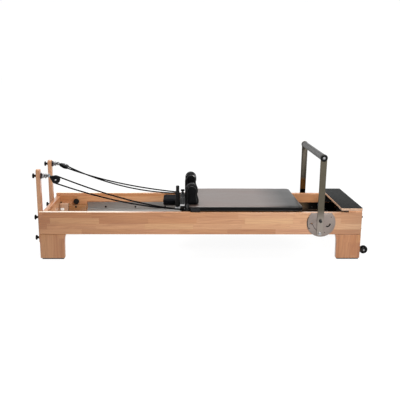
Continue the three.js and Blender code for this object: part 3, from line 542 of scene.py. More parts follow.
def join(name, objs):
    """Merge several small solids of one body into one piece."""
    bm = bmesh.new()
    mats = []
    for o in objs:
        for m in o.data.materials:
            if m not in mats: mats.append(m)
    for o in objs:
        n0 = len(bm.faces)
        tmp = bmesh.new(); tmp.from_mesh(o.data); tmp.transform(o.matrix_world)
        idx = mats.index(o.data.materials[0])
        for f in tmp.faces: f.material_index = idx
        me = bpy.data.meshes.new("tmp"); tmp.to_mesh(me); tmp.free()
        bm.from_mesh(me); bpy.data.meshes.remove(me)
    me = bpy.data.meshes.new(name); bm.to_mesh(me); bm.free()
    for m in mats: me.materials.append(m)
    smooth(me, 32)
    for o in objs:
        bpy.data.objects.remove(o, do_unlink=True)
    return link(name, me)

def sweep(name, pts, half_v, section, mat, side=(0, 1, 0)):
    """Carry a flat section (across = side, through = normal), in mm, along points in mm."""
    bm = bmesh.new(); S = Vector(side); rings = []
    n = len(pts)
    for i, p in enumerate(pts):
        t = (Vector(pts[min(i + 1, n - 1)]) - Vector(pts[max(i - 1, 0)])).normalized()
        nn = S.cross(t).normalized()
        rings.append([bm.verts.new((Vector(p) + S * v + nn * u) * MM) for v, u in section])
    m = len(section)
    for a, b in zip(rings, rings[1:]):
        for k in range(m):
            bm.faces.new((a[k], a[(k + 1) % m], b[(k + 1) % m], b[k]))
    bm.faces.new(rings[0][::-1]); bm.faces.new(rings[-1])
    return from_bm(name, bm, mat, 40)

def strap_section(w, t, r, n=4):
    """Rounded flat section as (across, through) points."""
    r = min(r, t / 2 - 0.01)
    return (arc(w / 2 - r, t / 2 - r, r, 0, math.pi / 2, n) + arc(-w / 2 + r, t / 2 - r, r, math.pi / 2, math.pi, n)
            + arc(-w / 2 + r, -t / 2 + r, r, math.pi, 1.5 * math.pi, n) + arc(w / 2 - r, -t / 2 + r, r, 1.5 * math.pi, 2 * math.pi, n))

def applied(o):
    dg = bpy.context.evaluated_depsgraph_get()
    me = bpy.data.meshes.new_from_object(o.evaluated_get(dg), preserve_all_data_layers=False, depsgraph=dg)
    old = o.data
    o.modifiers.clear(); o.data = me
    bpy.data.meshes.remove(old)
    return o

def swell(name, node, mat, body, shrink, cap, voxel, pressure=4.0, pin_below=2.0, frames=20, bend=0.4, round_=False):
    """A stuffed pad: the CAD block, taken in a little, remeshed and blown up as cloth inside its own space."""
    lo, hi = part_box(node)
    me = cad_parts[node].data.copy()
    me.materials.clear()
    o = link(name, me)
    r = o.modifiers.new("r", "REMESH"); r.mode = "VOXEL"; r.voxel_size = voxel * MM
    applied(o)
    for _ in range(5 if round_ else 2):
        s = o.modifiers.new("s", "SMOOTH"); s.factor = 0.5; s.iterations = 4 if round_ else 3
        applied(o)
    me = o.data
    n = len(me.vertices)
    nor = [v.normal.copy() for v in me.vertices]
    for v in me.vertices:
        v.co = v.co - nor[v.index] * shrink * MM
        if v.co.z < lo[2] + (shrink + 0.8) * MM: v.co.z = lo[2] + 0.3 * MM
    start = [v.co.copy() for v in me.vertices]
    vg = o.vertex_groups.new(name="pin")
    low = [i for i, p in enumerate(start) if p.z < lo[2] + pin_below * MM]
    if low: vg.add(low, 1.0, "REPLACE")
    c = o.modifiers.new("c", "CLOTH")
    st = c.settings
    st.quality = 4
    st.mass = 0.3
    st.tension_stiffness = st.compression_stiffness = 18
    st.shear_stiffness = 8; st.bending_stiffness = bend
    st.air_damping = 2.5
    st.use_pressure = True; st.uniform_pressure_force = pressure
    st.effector_weights.gravity = 0
    if low: st.vertex_group_mass = "pin"
    c.collision_settings.use_collision = False
    c.point_cache.frame_start, c.point_cache.frame_end = 1, frames
    for f in range(1, frames + 1):
        scene.frame_set(f)
    applied(o)
    scene.frame_set(1)
    me = o.data
    for v, p in zip(me.vertices, start):
        d = v.co - p
        if d.length > cap * MM: d *= cap * MM / d.length
        q = p + d
        for i in range(3):
            q[i] = min(max(q[i], lo[i] + 0.2 * MM), hi[i] - 0.2 * MM)
        v.co = q
    s = o.modifiers.new("s", "SMOOTH"); s.factor = 0.4; s.iterations = 2
    applied(o)
    s = o.modifiers.new("s", "SUBSURF"); s.levels = s.render_levels = 1
    applied(o)
    o.data.materials.clear(); o.data.materials.append(mat)
    smooth(o.data, 60)
    return place(o, body, (node,))

def on_surface(o, pts, lift=0.0):
    """Points (mm) moved onto a piece's own surface, with a small lift along its normal."""
    bm = bmesh.new(); bm.from_mesh(o.data)
    t = BVHTree.FromBMesh(bm); bm.free()
    out = []
    for p in pts:
        q, nn, _, _ = t.find_nearest(Vector(p) * MM)
        out.append(q + nn * lift * MM)
    for _ in range(2):
        out = [(out[i - 1] + out[i] * 2 + out[(i + 1) % len(out)]) / 4 for i in range(len(out))] if (Vector(pts[0]) - Vector(pts[-1])).length < 60 else out
    return out

SIDES = (("near", -1), ("far", 1))

# ------------------------------------------------------------------ wooden frame
L, W, TOP, BOT, RIN = 1200, 340, 363, 193, 305
# (x, r, g, b) multipliers, partly overall tone and partly painted light: the near rail is darkened towards both ends,
# most at the head end, as painted shadow, and the far rail is lightened as painted light
RAIL_TONE_AND_PAINTED_LIGHT = {"near": ((-1.2, 0.76, 0.67, 0.54), (-0.5, 0.88, 0.84, 0.76), (0.0, 0.92, 0.92, 0.88), (0.95, 0.88, 0.92, 0.94), (1.2, 0.76, 0.81, 0.85)),
              "far": ((-1.2, 1.12, 1.10, 1.02), (1.2, 1.10, 1.08, 1.02))}
# legs: mostly an overall tone correction, a little darker towards the foot end
LEG_TONE_AND_PAINTED_LIGHT = ((-1.2, 0.84, 0.80, 0.68), (1.2, 0.79, 0.71, 0.59))
for s, g in SIDES:
    y0, y1 = sorted((g * W, g * RIN))
    rbox(f"rail_{s}", (-L, y0, BOT), (L, y1, TOP), 4.5, wood("x", 0.21 if s == "near" else 0.83, tone_and_painted_light=RAIL_TONE_AND_PAINTED_LIGHT[s], painted_top_glare=True), 4, "frame", (f"side_rail_{s}",))
rbox("head_board", (-L, -RIN + 0.3, 112), (-L + 35, RIN - 0.3, 338), 4, wood("y", 0.4), 3, "frame", ("head_end_board",))
rbox("foot_board", (L - 35, -RIN + 0.3, BOT), (L, RIN - 0.3, TOP), 4, wood("y", 0.63), 3, "frame", ("foot_end_board",))
def leg_outline(sg):
    X = lambda w: sg * (L - w)
    inner = [(11.3, 181), (60, 181.6), (120, 182.8), (150, 184), (164, 185.6), (174, 188), (182, 190.6), (188, 192.8), (192.7, 195)]
    pts = [(8.3, X(3)), (11.3, X(0)), (192.7, X(0))] + [(z, X(w)) for z, w in reversed(inner)] + [(8.3, X(178))]
    return pts
for e, sg in (("head", -1), ("foot", 1)):
    for s, g in SIDES:
        y0, y1 = sorted((g * W, g * RIN))
        prism(f"leg_{e}_{s}", leg_outline(sg), "y", y0, y1, wood("z", 0.17 + 0.31 * (sg > 0) + 0.11 * (g > 0), "leg", tone_and_painted_light=LEG_TONE_AND_PAINTED_LIGHT), 2.2, 3, "frame", (f"{e}_leg_{s}",))
        a, b = sorted((sg * (L - 5), sg * (L - 176)))
        rbox(f"pad_{e}_{s}", (a + 4 * (sg < 0) + 3, y0 + 2.5, 0.0), (b - 3, y1 - 2.5, 8.0), 2.0, rubber("pad", (44, 34, 28), 0.75), 3, "frame", (f"{e}_floor_pad_{s}",))

# platform: edge-glued board on a spacer, with a grip mat
def mat_outline(x0, x1, y, r):
    return arc(x1 - r, y - r, r, 0, math.pi / 2, 4) + arc(x0 + r, y - r, r, math.pi / 2, math.pi, 4) + arc(x0 + r, -y + r, r, math.pi, 1.5 * math.pi, 4) + arc(x1 - r, -y + r, r, 1.5 * math.pi, 2 * math.pi, 4)
a = rbox("platform_board_a", (1042, -W, 378.8), (L, W, 396.2), 2.2, wood("p", 0.3, "pale"), 3)
b = rbox("platform_board_b", (1100, -W + 1.5, TOP + 0.3), (L - 2, W - 1.5, 378.7), 1.2, wood("p", 0.9), 2)
place(join("platform_board", [a, b]), "frame", ("standing_platform",))
prism("platform_mat", mat_outline(1043, L - 1, W - 1, 3), "z", 396.5, 400, rubber("mat", (19, 21, 21), 0.7, True), 0.8, 2, "frame", ("platform_grip_mat",))

# bolts in the rails' end faces
blk, chrome = metal("blackened", (44, 42, 41), 0.38, "n", 0.5, (20, 19, 18)), metal("zinc", (176, 176, 178), 0.20, "n", 0.5, (96, 94, 92))
caps = []
for g in (-1, 1):
    for sg in (-1, 1):
        for z in (236, 325):
            caps.append(hexbolt("b", (sg * L, g * 318, z), "x" if sg > 0 else "-x", 8.5, 10.5 if z > 300 and sg > 0 else 6, blk, None))
place(join("end_bolts", caps), "frame")
# ------------------------------------------------------------------ tracks, screws, stops, spring bar
for s, g in SIDES:
    # painted light: from x 0.70 the track turns brown, a painted reflection of the wood, and from x 0.88 near black, a
    # painted shadow under the platform
    dress(f"track_{s}", metal("track", (178, 176, 173), 0.42, "x", 0.8, (136, 132, 128), ((0, 0.70, 0.77, 62, 50, 38), (0, 0.88, 0.94, 14, 12, 11))), "frame", f"rail_track_{s}", 0.5)
    sc = [hexbolt("s", (x, g * (RIN - 4.3), 245), "y" if g < 0 else "-y", 8.5, 4.2, blk, None) for x in range(-788, 1160, 250)]
    place(join(f"track_screws_{s}", sc), "frame")
    # rail stop: rubber bumper on a wooden block near the head end
    blk0, blk1 = sorted((g * (RIN - 0.4), g * (RIN - 42)))
    # the stop block's darker wood is a painted shadow
    rbox(f"stop_block_{s}", (-1092, blk0, 204), (-948, blk1, 262), 3, wood("x", 0.55, "block"), 3, "frame")
    rbox(f"corner_block_{s}", (-1164, blk0, 200), (-1096, blk1, 278), 3, wood("z", 0.35, "pale"), 3, "frame")
    lathe(f"stop_bumper_{s}", [(0, 0), (9, 0), (9, 5), (21, 7), (23, 11), (23, 23), (19, 28), (0, 29)], "y" if g < 0 else "-y", (-1031, g * (RIN - 0.4), 292), rubber("bumper", (12, 7, 5), 0.7), 32, "frame")
    hexbolt(f"stop_bolt_{s}", (-1031, g * (RIN - 42), 253), "y" if g < 0 else "-y", 8, 6, blk, "frame")
    # painted shadow: a black strip standing in for the shadow line where the head board meets the rail's inner face
    y0, y1 = sorted((g * 296.5, g * 304.5))
    rbox(f"corner_shadow_strip_{s}", (-1164.7, y0, 204), (-1155.5, y1, 286), 1.5, blk, 2, "frame")
    # painted highlight: a white plate standing in for a bright glint in the head corner
    y0, y1 = sorted((g * (RIN - 44), g * (RIN - 41)))
    rbox(f"corner_glint_plate_{s}", (-1160, y0, 222), (-1130, y1, 243), 1.0, plastic("painted_glint_white", (236, 236, 232), 0.4), 2, "frame")
dress("spring_bar", metal("bar", (120, 118, 116), 0.30, "y"), "frame", "spring_rail", 0.8)
hooks = [lathe("h", [(0, 0), (6, 0), (6, 3), (3.4, 5), (3.4, 12), (6.5, 15), (6.5, 18), (0, 19)], "z", (1019, y, 270), chrome, 20) for y in (-220, -110, 0, 110, 220)]
place(join("spring_hooks", hooks), "frame")
# row of hanger holes by the far and near foot bay
for s, g in SIDES:
    hs = [lathe("k", [(0, 0), (7.5, 0), (7.5, 1.8), (5, 2.6), (0, 2.8)], "y" if g < 0 else "-y", (x, g * (RIN - 0.3), 248), blk, 20) for x in (905, 923, 942, 961, 977, 992)]
    place(join(f"hanger_studs_{s}", hs), "frame")

# black sheets in the foot corners and across the foot board's inner face, a painted shadow under the platform, and the
# bent bracket that ties them to the track
shadow_sheet = plastic("shadow_sheet", (9, 9, 10), 0.55, 0.2)
for s, g in SIDES:
    y0, y1 = sorted((g * 304.8, g * 301.6))
    rbox(f"corner_shadow_sheet_{s}", (1052, y0, 290), (1163, y1, 362), 1.2, shadow_sheet, 2, "frame")
    y0, y1 = sorted((g * 304.4, g * 299.6))
    place(join(f"track_bracket_{s}", [rbox("t", (1010, y0, 252), (1034, y1, 288), 1.4, metal("bluish", (112, 122, 138), 0.3, "n", 0.5, (60, 62, 70)), 2),
        lathe("t2", [(0, 0), (6, 0), (6, 2), (3.6, 3.2), (0, 3.4)], "y" if g < 0 else "-y", (1022, g * 299.6, 270), blk, 20)]), "frame")
rbox("foot_shadow_sheet", (1161.6, -299, 200), (1164.8, 299, 360), 1.2, shadow_sheet, 2, "frame")
# ------------------------------------------------------------------ footbar
PX, PZ, BZ = 884, 203, 776
def flush(o, y, k):
    """Press a piece flat against the plane at y, keeping k of its height."""
    for v in o.data.vertices: v.co.y = y * MM + (v.co.y - y * MM) * k
    return o
steel = metal("upright", (98, 92, 80), 0.30, "z", 0.8, (62, 57, 47))
# painted light: the near upright turns paler below z 0.385; the far one turns brown below z 0.50, a painted reflection
# of the wood, and near black below z 0.39, a painted shadow where it meets the rail
steels = {"near": metal("upright_near", (96, 90, 78), 0.30, "z", 0.8, (60, 55, 45), ((2, 0.385, 0.30, 146, 137, 129),)),
          "far": metal("upright_far", (86, 80, 71), 0.30, "z", 0.8, (54, 49, 41), ((2, 0.50, 0.47, 108, 72, 36), (2, 0.398, 0.392, 9, 8, 7)))}
plate_m = metal("plate", (146, 135, 129), 0.40, "n", 0.6, (104, 92, 85))
for s, g in SIDES:
    dress(f"footbar_plate_{s}", plate_m, "frame", f"side_plate_{s}", 0.5)
    yo = g * (W + 0.3 + 4.5)
    d = "-y" if g < 0 else "y"
    scr = [hexbolt("q", (x, yo, z), d, 3.6, 1.6, blk, None) for x, z in ((920.9, 211.5), (879.6, 201), (806, 243), (966, 330))]
    place(flush(join(f"plate_screws_{s}", scr), yo, 0.15), "frame")
    # black lines along the adjuster's curved slot, hooked groove and comma-shaped notch, raised a little from the
    # plate: a painted shadow for the dark inside them
    def slot_dark_line(pts, r0):
        fine = []
        for (a, b), (c2, d2) in zip(pts, pts[1:]):
            fine += [(a + (c2 - a) * i / 6, b + (d2 - b) * i / 6) for i in range(6)]
        fine.append(pts[-1])
        for _ in range(5): fine = [fine[0]] + [tuple((fine[i - 1][j] + 2 * fine[i][j] + fine[i + 1][j]) / 4 for j in (0, 1)) for i in range(1, len(fine) - 1)] + [fine[-1]]
        return tube_mesh("l", [Vector((a, yo + g * 0.1, b)) * MM for a, b in fine], r0 * MM, blk, 8)
    slot_dark_lines = [slot_dark_line([(800, 330), (790, 316), (788.4, 285), (792, 254), (803, 240)], 2.3),
            slot_dark_line([(805.3, 275.8), (819.2, 282.8), (836.8, 261.9), (841.3, 248.0), (866.7, 223.1), (881.4, 202.1)], 1.9),
            slot_dark_line([(886.5, 350), (887.8, 304.5), (878.6, 279.8)], 1.7),
            slot_dark_line([(932, 262), (938, 256), (948, 258), (957, 268), (962, 280)], 5.2)]
    place(flush(join(f"adjuster_slot_darks_{s}", slot_dark_lines), yo, 0.045), "frame")
    dress(f"footbar_upright_{s}", steels[s], "footbar", f"upright_{s}", 0.7)
    yu = g * (W + 0.3 + 4.5 + 0.3 + 8)
    lathe(f"bar_collar_{s}", [(9, 0), (25.5, 0), (26.4, 1.5), (26.6, 5.6), (25.2, 8.4), (21, 9.4), (12, 9.4), (9, 8.6)], d, (PX, yu, BZ), plastic("collar", (3, 3, 3), 0.4, 0.14), 48, "footbar", closed=True)
    lathe(f"bar_bolt_{s}", [(0, 6.2), (10.4, 6.2), (10.4, 8.2), (7.6, 8.4), (7.6, 9.6), (6.9, 10.6), (3.6, 10.6), (3.4, 8.9), (0, 8.9)], d, (PX, yu, BZ), chrome, 24, "footbar")
    lathe(f"pivot_bolt_{s}", [(0, 0), (14, 0), (14, 2.6), (11.5, 3.4), (10.8, 6.2), (9.4, 7.2), (4.6, 7.2), (4.4, 5.4), (0, 5.4)], d, (PX, yu - g * 0.2, PZ), chrome, 24, "frame")
    lathe(f"plunger_{s}", [(0, -8), (5, -8), (5, 0.4), (8.6, 0.4), (10.5, 1.6), (11, 4), (9, 6), (9, 10), (11, 12.5), (10.6, 15), (8.4, 16.2), (0, 16.4)], d, (PX, yu, PZ + 98.5), plastic("knob", (11, 11, 12), 0.34), 32, f"lock_pin_{s}", (f"footbar_lock_pin_{s}",), lobes=8, lobe_amp=0.03)
Lb = 345
sleeve = [(21, -Lb), (23.2, -Lb), (24, -Lb + 1)] + [(24, y) for y in range(-330, 331, 30)] + [(24, Lb - 1), (23.2, Lb), (21, Lb)]
lathe("grip_bar", [(r, y) for r, y in sleeve], "y", (PX, 0, BZ), ribbed(), 56, "footbar", ("footbar_grip",), closed=True)
for s, g in SIDES:
    lathe(f"grip_end_{s}", [(24.1, 0), (25.2, 0.6), (25.4, 6), (24.9, 9), (24.1, 9.6)], "-y" if g < 0 else "y", (PX, g * (Lb - 10.2), BZ), plastic("collar", (3, 3, 3), 0.4, 0.14), 48, "footbar", closed=True)

# ------------------------------------------------------------------ transport wheels
for s, g in SIDES:
    dress(f"transport_bracket_{s}", blk, "frame", f"wheel_bracket_{s}", 0.8)
    tyre = [(19, -8), (25, -10.4), (28.6, -10.4), (30.6, -8.2), (31, -4), (31, 4), (30.6, 8.2), (28.6, 10.4), (25, 10.4), (19, 8)]
    t = lathe("t", tyre, "y", (1234.5, g * 310, 67.5), plastic("tyre", (0, 0, 0), 0.5, 0.1), 48, closed=True)
    hub = lathe("t2", [(5.4, -11), (11, -11), (12, -8.5), (16, -6.5), (19.5, -8), (19.5, 8), (16, 6.5), (12, 8.5), (11, 11), (5.4, 11)], "y", (1234.5, g * 310, 67.5), plastic("hub", (2, 2, 2), 0.3, 0.2), 40, closed=True)
    place(join(f"wheel_{s}", [t, hub]), f"transport_wheel_{s}", (f"transport_wheel_{s}",))
    lathe(f"wheel_axle_{s}", [(0, 0), (6.5, 0), (6.5, 2), (5, 3.4), (0, 3.8)], "-y" if g < 0 else "y", (1234.5, g * 310 + g * 15.6, 67.5), chrome, 24, "frame")

# ------------------------------------------------------------------ risers, knobs and pulleys
RY, BL = 205, 59
silver = metal("silver", (150, 150, 151), 0.34, "n", 0.5, (84, 82, 80))
PUL = {"near": (-1140, 608, math.radians(28), 0.0, 0.36), "far": (-1152, 628, math.radians(20), math.radians(-86), 0.0)}   # swivel pin x, z, dip, roll, contact start
def block_frame(s, g):
    ex, ez, dip, roll, _ = PUL[s]
    return Matrix.Translation((ex * MM, g * RY * MM, ez * MM)) @ Matrix.Rotation(dip, 4, "Y") @ Matrix.Rotation(roll, 4, "X")
def laid(o, M):
    """Move a piece built in a block's own frame to where the block hangs."""
    o.data.transform(M)
    return o
kn = plastic("knobs", (5, 5, 6), 0.4, 0.16)
knob_prof = [(r, h * 0.842) for r, h in ((0, 0), (12.4, 0), (13, 1), (13, 3), (9.4, 6.5), (8.6, 11), (9.6, 16), (16, 19.4), (18.6, 22), (19.2, 25), (18.9, 29), (17.2, 32), (13, 32.9), (6, 31.8), (0, 31.6))]
blackb = plastic("block", (5, 6, 8), 0.34, 0.14)
for s, g in SIDES:
    y = g * RY
    EX, EZ = PUL[s][0], PUL[s][1]
    MF = block_frame(s, g)
    dress(f"riser_post_{s}", wood("z", 0.71 if s == "near" else 0.52, "riser", 0.060, 0.42), f"riser_{s}", f"riser_{s}_post", 1.6, 26)
    for nm, z, body in (("pulley_knob", EZ, f"pulley_knob_{s}"), ("lower_clamp_knob", 130, f"lower_clamp_knob_{s}"), ("upper_clamp_knob", 290, f"upper_clamp_knob_{s}")):
        h = lathe("k", knob_prof, "-x", (-1232.6, y, z), kn, 48, lobes=7 if nm != "pulley_knob" else 0, lobe_amp=0.035)
        if nm != "pulley_knob":
            st = lathe("k2", [(0, 0), (5, 0), (5, 31), (0, 31)], "-x", (-1200.7, y, z), chrome, 20)
            h = join("k3", [h, st])
        h.name = f"{nm}_{s}_piece"
        place(h, body, (f"{nm}_{s}",))
    dress(f"pulley_eyebolt_{s}", chrome, f"riser_{s}", f"eyebolt_{s}", 0.4)
    lathe(f"eye_washer_{s}", [(7, 0), (19, 0), (23.4, 1.4), (24, 4), (22.6, 6.6), (17, 8), (9.8, 8), (7, 7)], "x", (-1200.0, y, EZ), plastic("washer", (38, 16, 16), 0.4), 44, f"riser_{s}", closed=True)
    # swivel eye: a plump turned body and a ring under the pin's head
    ln = EX - 13 + 1192
    prof = [(0, 0), (8, 0), (11.5, 0.05), (14.6, 0.14), (15.4, 0.26), (13.6, 0.36), (10.2, 0.44), (9.4, 0.50), (12.4, 0.58), (14.8, 0.70), (14.6, 0.82), (11.6, 0.93), (8, 1.0), (0, 1.0)]
    parts = [lathe("c", [(r * 1.28, h * ln) for r, h in prof], "x", (-1192, y, EZ), silver, 36)]
    parts.append(lathe("c", [(11.4, -7.4), (14.2, -6.4), (15.2, -3), (15.2, 3), (14.2, 6.4), (11.4, 7.4)], "z", (EX, y, EZ), silver, 32, closed=True))
    place(join(f"swivel_eye_{s}", parts), f"riser_{s}")
    dress(f"pulley_block_{s}", blackb, f"pulley_block_{s}", f"block_{s}", 1.2, 24)
    for k2, sg in (("in", -1), ("out", 1)):
        o = lathe(f"sheave_axle_{s}_{k2}", [(0, 0), (6.4, 0), (6.4, 1.6), (4.6, 2.9), (0, 3.2)], "-y" if sg < 0 else "y", (BL, sg * 15, 0), chrome, 28)
        place(laid(o, MF), f"pulley_block_{s}")
    sp = [(4.4, -7.5), (26.8, -7.5), (28, -6.4), (25.6, -5.9), (23.5, -5.1), (22.3, -3.4), (21.9, 0), (22.3, 3.4), (23.5, 5.1), (25.6, 5.9), (28, 6.4), (26.8, 7.5), (4.4, 7.5)]
    o = lathe(f"sheave_{s}", sp, "y", (BL, 0, 0), plastic("sheave", (40, 40, 42), 0.35), 56, closed=True)
    place(laid(o, MF), f"pulley_sheave_{s}", (f"pulley_sheave_{s}",))

# ------------------------------------------------------------------ carriage
blackened = blk
dress("carriage_frame", laminate(), "carriage", "carriage_deck", 1.0)
for k2, wx in (("head", -60), ("foot", 690)):
    for s, g in SIDES:
        wy = g * 279
        d = "y" if g < 0 else "-y"
        nm = f"carriage_wheel_{k2}_{s}"
        t = lathe("w", [(12.3, -9.6), (20, -9.6), (23.6, -9.9), (25, -8.4), (25, 8.4), (23.6, 9.9), (20, 9.6), (12.3, 9.6)], "y", (wx, wy, 256.3), rubber("wheel", (58, 58, 60), 0.5), 40, closed=True)
        h = lathe("w2", [(4.4, -10.6), (9, -10.6), (9.6, -9.4), (12.2, -9.2), (12.2, 9.2), (9.6, 9.4), (9, 10.6), (4.4, 10.6)], "y", (wx, wy, 256.3), metal("hub", (150, 150, 150), 0.3, "n", 0.4, (60, 60, 60)), 32, closed=True)
        place(join(nm + "_piece", [t, h]), nm, (nm,))
blackp = plastic("bracket", (8, 8, 9), 0.6, 0.12)
dress("shoulder_rest_base", blackp, "carriage", "shoulder_base", 0.6)
bolts = [hexbolt("b", (x, y, 369.2), "z", 6, 3.6, chrome, None) for x in (-153, -128) for y in (-270, -120, 120, 270)]
place(join("shoulder_base_bolts", bolts), "carriage")

cush = swell("cushion", "carriage_cushion", cover(), "carriage", 3.4, 3.6, 8.0, 3.0, 3.0)
def ring_xy(x0, x1, y, r, z, n=8, step=24):
    c = arc(x1 - r, y - r, r, 0, math.pi / 2, n) + arc(x0 + r, y - r, r, math.pi / 2, math.pi, n) + arc(x0 + r, -y + r, r, math.pi, 1.5 * math.pi, n) + arc(x1 - r, -y + r, r, 1.5 * math.pi, 2 * math.pi, n)
    out = []
    for i, (a, b) in enumerate(c):
        a2, b2 = c[(i + 1) % len(c)]
        m = max(1, int(math.hypot(a2 - a, b2 - b) / step))
        out += [(a + (a2 - a) * j / m, b + (b2 - b) * j / m, z) for j in range(m)]
    return out
vin = vinyl("welt", (12, 12, 13), 0.42)
for nm, z in (("upper", 399.0), ("lower", 370.5)):
    pts = on_surface(cush, ring_xy(-105, 765, 330, 38, z), -0.5)
    place(tube_mesh(f"cushion_welt_{nm}", pts, 0.0019, vin, 8, closed=True), "carriage")
pts = on_surface(cush, ring_xy(-98, 758, 323, 34, 406), 0.05)
place(tube_mesh("cushion_topstitch", pts, 0.0006, thread((44, 43, 44)), 6, closed=True), "carriage")

# ------------------------------------------------------------------ headrest
rbox("headrest_board", (-293, -99, 364.7), (-174, 99, 368.3), 1.2, laminate(), 2, "headrest")
hd = swell("headrest_pad", "headrest", suede(), "headrest", 3.6, 4.4, 5.0, 4.5)
for nm, z in (("upper", 398.0), ("lower", 374.0)):
    pts = on_surface(hd, ring_xy(-297, -168, 104, 26, z, 6, 14), -0.4)
    place(tube_mesh(f"headrest_welt_{nm}", pts, 0.0016, suede("welt", (7, 8, 12)), 8, closed=True), "headrest")
for i, y in enumerate((-62, 62)):
    lathe(f"headrest_hinge_{i}", [(0, -16), (2.9, -16), (3.2, -15.4), (3.2, -5.6), (2.9, -5.4), (3.2, -5.2), (3.2, 5.2), (2.9, 5.4), (3.2, 5.6), (3.2, 15.4), (2.9, 16), (0, 16)], "y", (-170.0, y, 368.0), blk, 20, "carriage")

# ------------------------------------------------------------------ shoulder rests, foot loops
knit = rest_cloth()
X0, X1, Y0, Y1, ZT = -113.5, -32.5, 140, 288, 555
xc, zc, R = (X0 + X1) / 2, 514.5, 40.5
def arch(r, y, z0=412, n=16):
    return ([(xc - r, y, z0 + (zc - z0) * i / 8) for i in range(8)] + [(xc - r * math.cos(math.pi * i / n), y, zc + r * math.sin(math.pi * i / n)) for i in range(n + 1)]
            + [(xc + r, y, zc - (zc - z0) * i / 8) for i in range(1, 9)])
for s, g in SIDES:
    pad = swell(f"shoulder_pad_{s}", f"shoulder_rest_{s}", knit, "carriage", 4.2, 5.0, 5.0, 5.0, round_=True)
    # backing board behind the pad, on the upright of the base
    y0, y1 = sorted((g * (Y0 + 5), g * (Y1 - 5)))
    rbox(f"shoulder_board_{s}", (X0 - 0.1, y0, 408), (X0 + 7.5, y1, 522), 3, plastic("board", (6, 6, 7), 0.6, 0.1), 3, "carriage")
    welts = []
    for y in (Y0 + 4, Y1 - 4):
        pts = on_surface(pad, arch(R, g * y), -0.3)
        welts.append(tube_mesh("w", pts, 0.0018, vinyl("welt", (12, 12, 13), 0.42), 8))
    place(join(f"shoulder_welts_{s}", welts), "carriage")
    # pale cord laid as piping in a crescent over the outer top shoulder of the cover: a painted highlight for the gloss
    # there
    pts = on_surface(pad, [(xc + 37 * math.sin(t), g * 152, zc + 37 * math.cos(t)) for t in (0.20 + 0.09 * i for i in range(11))], 0.2)
    place(tube_mesh(f"shoulder_highlight_cord_{s}", pts, 0.0026, thread((206, 203, 200)), 8), "carriage")
    # foot loop: a soft inverted U lying over the rest, its ends stitched down
    yl = g * 229
    web = webbing()
    def hoop(r):
        return ([(xc - r, yl, 497 + 17.5 * i / 4) for i in range(4)] + [(xc - r * math.cos(math.pi * i / 20), yl, zc + r * math.sin(math.pi * i / 20)) for i in range(21)]
                + [(xc + r, yl, zc - 21.5 * i / 4) for i in range(1, 5)])
    loop = sweep(f"foot_loop_{s}_piece", hoop(43.1), 0, strap_section(45, 3.8, 1.7), web)
    place(loop, "carriage", (f"foot_loop_{s}",))
    binds = []
    for dy in (-21.4, 21.4):
        binds.append(tube_mesh("b", [Vector((p[0], yl + dy, p[2])) * MM for p in hoop(43.3)], 0.0021, web, 8))
    for dy in (-17, 17):
        binds.append(tube_mesh("b", [Vector((p[0], yl + dy, p[2])) * MM for p in hoop(45.1)], 0.0005, thread(), 6))
    for x, z in ((xc - 43.3, 497.5), (xc + 43.3, 493.5)):
        binds.append(tube_mesh("b", [Vector((x, yl + dy, z)) * MM for dy in range(-22, 23, 4)], 0.0022, web, 8))
    place(join(f"foot_loop_binding_{s}", binds), "carriage")

# rope posts, the bracket and grip handle by the near corner, the strap end at the rail
for s, g in SIDES:
    yo = g * 288
    lathe(f"rope_knob_{s}", [(0, 400.4), (9, 400.4), (14.2, 398.8), (16.4, 395.6), (16.4, 389.6), (14.4, 386.2), (9.4, 383.6), (6.3, 380.6), (0, 380.6)][::-1], "z", (-140, yo, 0), kn, 32, "carriage")
    ring = [Vector((-140 + 8.8 * math.cos(a), yo + 8.8 * math.sin(a), 374.6)) * MM for a in (2 * math.pi * i / 28 for i in range(28))]
    place(tube_mesh(f"rope_eye_{s}", ring, 0.0031, braid(), 10, closed=True), "carriage")
handle = [(0, 367.4), (14, 367.6), (17.0, 369.4), (17.4, 374)]
for i in range(14):
    z = 376 + i * 7.0
    handle += [(17.6, z), (16.7, z + 2.4), (17.6, z + 4.8)]
handle += [(17.2, 475), (15.4, 478.4), (13.4, 480), (13, 484), (13, 525), (12.2, 528), (9.4, 529), (5, 529.3), (0, 529.4)]
lathe("grip_handle", handle, "z", (-179, -170, 0), rubber("handle", (5, 5, 6), 0.7), 36, "carriage")
plate, bright = [], metal("bright_zinc", (226, 226, 227), 0.36, "n", 0.4, (170, 169, 168))
plate.append(rbox("z", (-196, -240, 364.6), (-158, -151, 367.3), 0.8, bright, 2))
plate.append(rbox("z", (-161, -240, 364.6), (-158, -214, 392), 0.8, bright, 2))
plate.append(rbox("z", (-161, -240, 389), (-124, -214, 392), 0.8, bright, 2))
place(join("handle_bracket", plate), "carriage")
st = sweep("strap_end", [(-81 + 68 * i / 10, -327, 377 + 0.6 * math.sin(i)) for i in range(11)], 0, strap_section(22, 24, 8, 5), webbing())
place(st, "carriage")

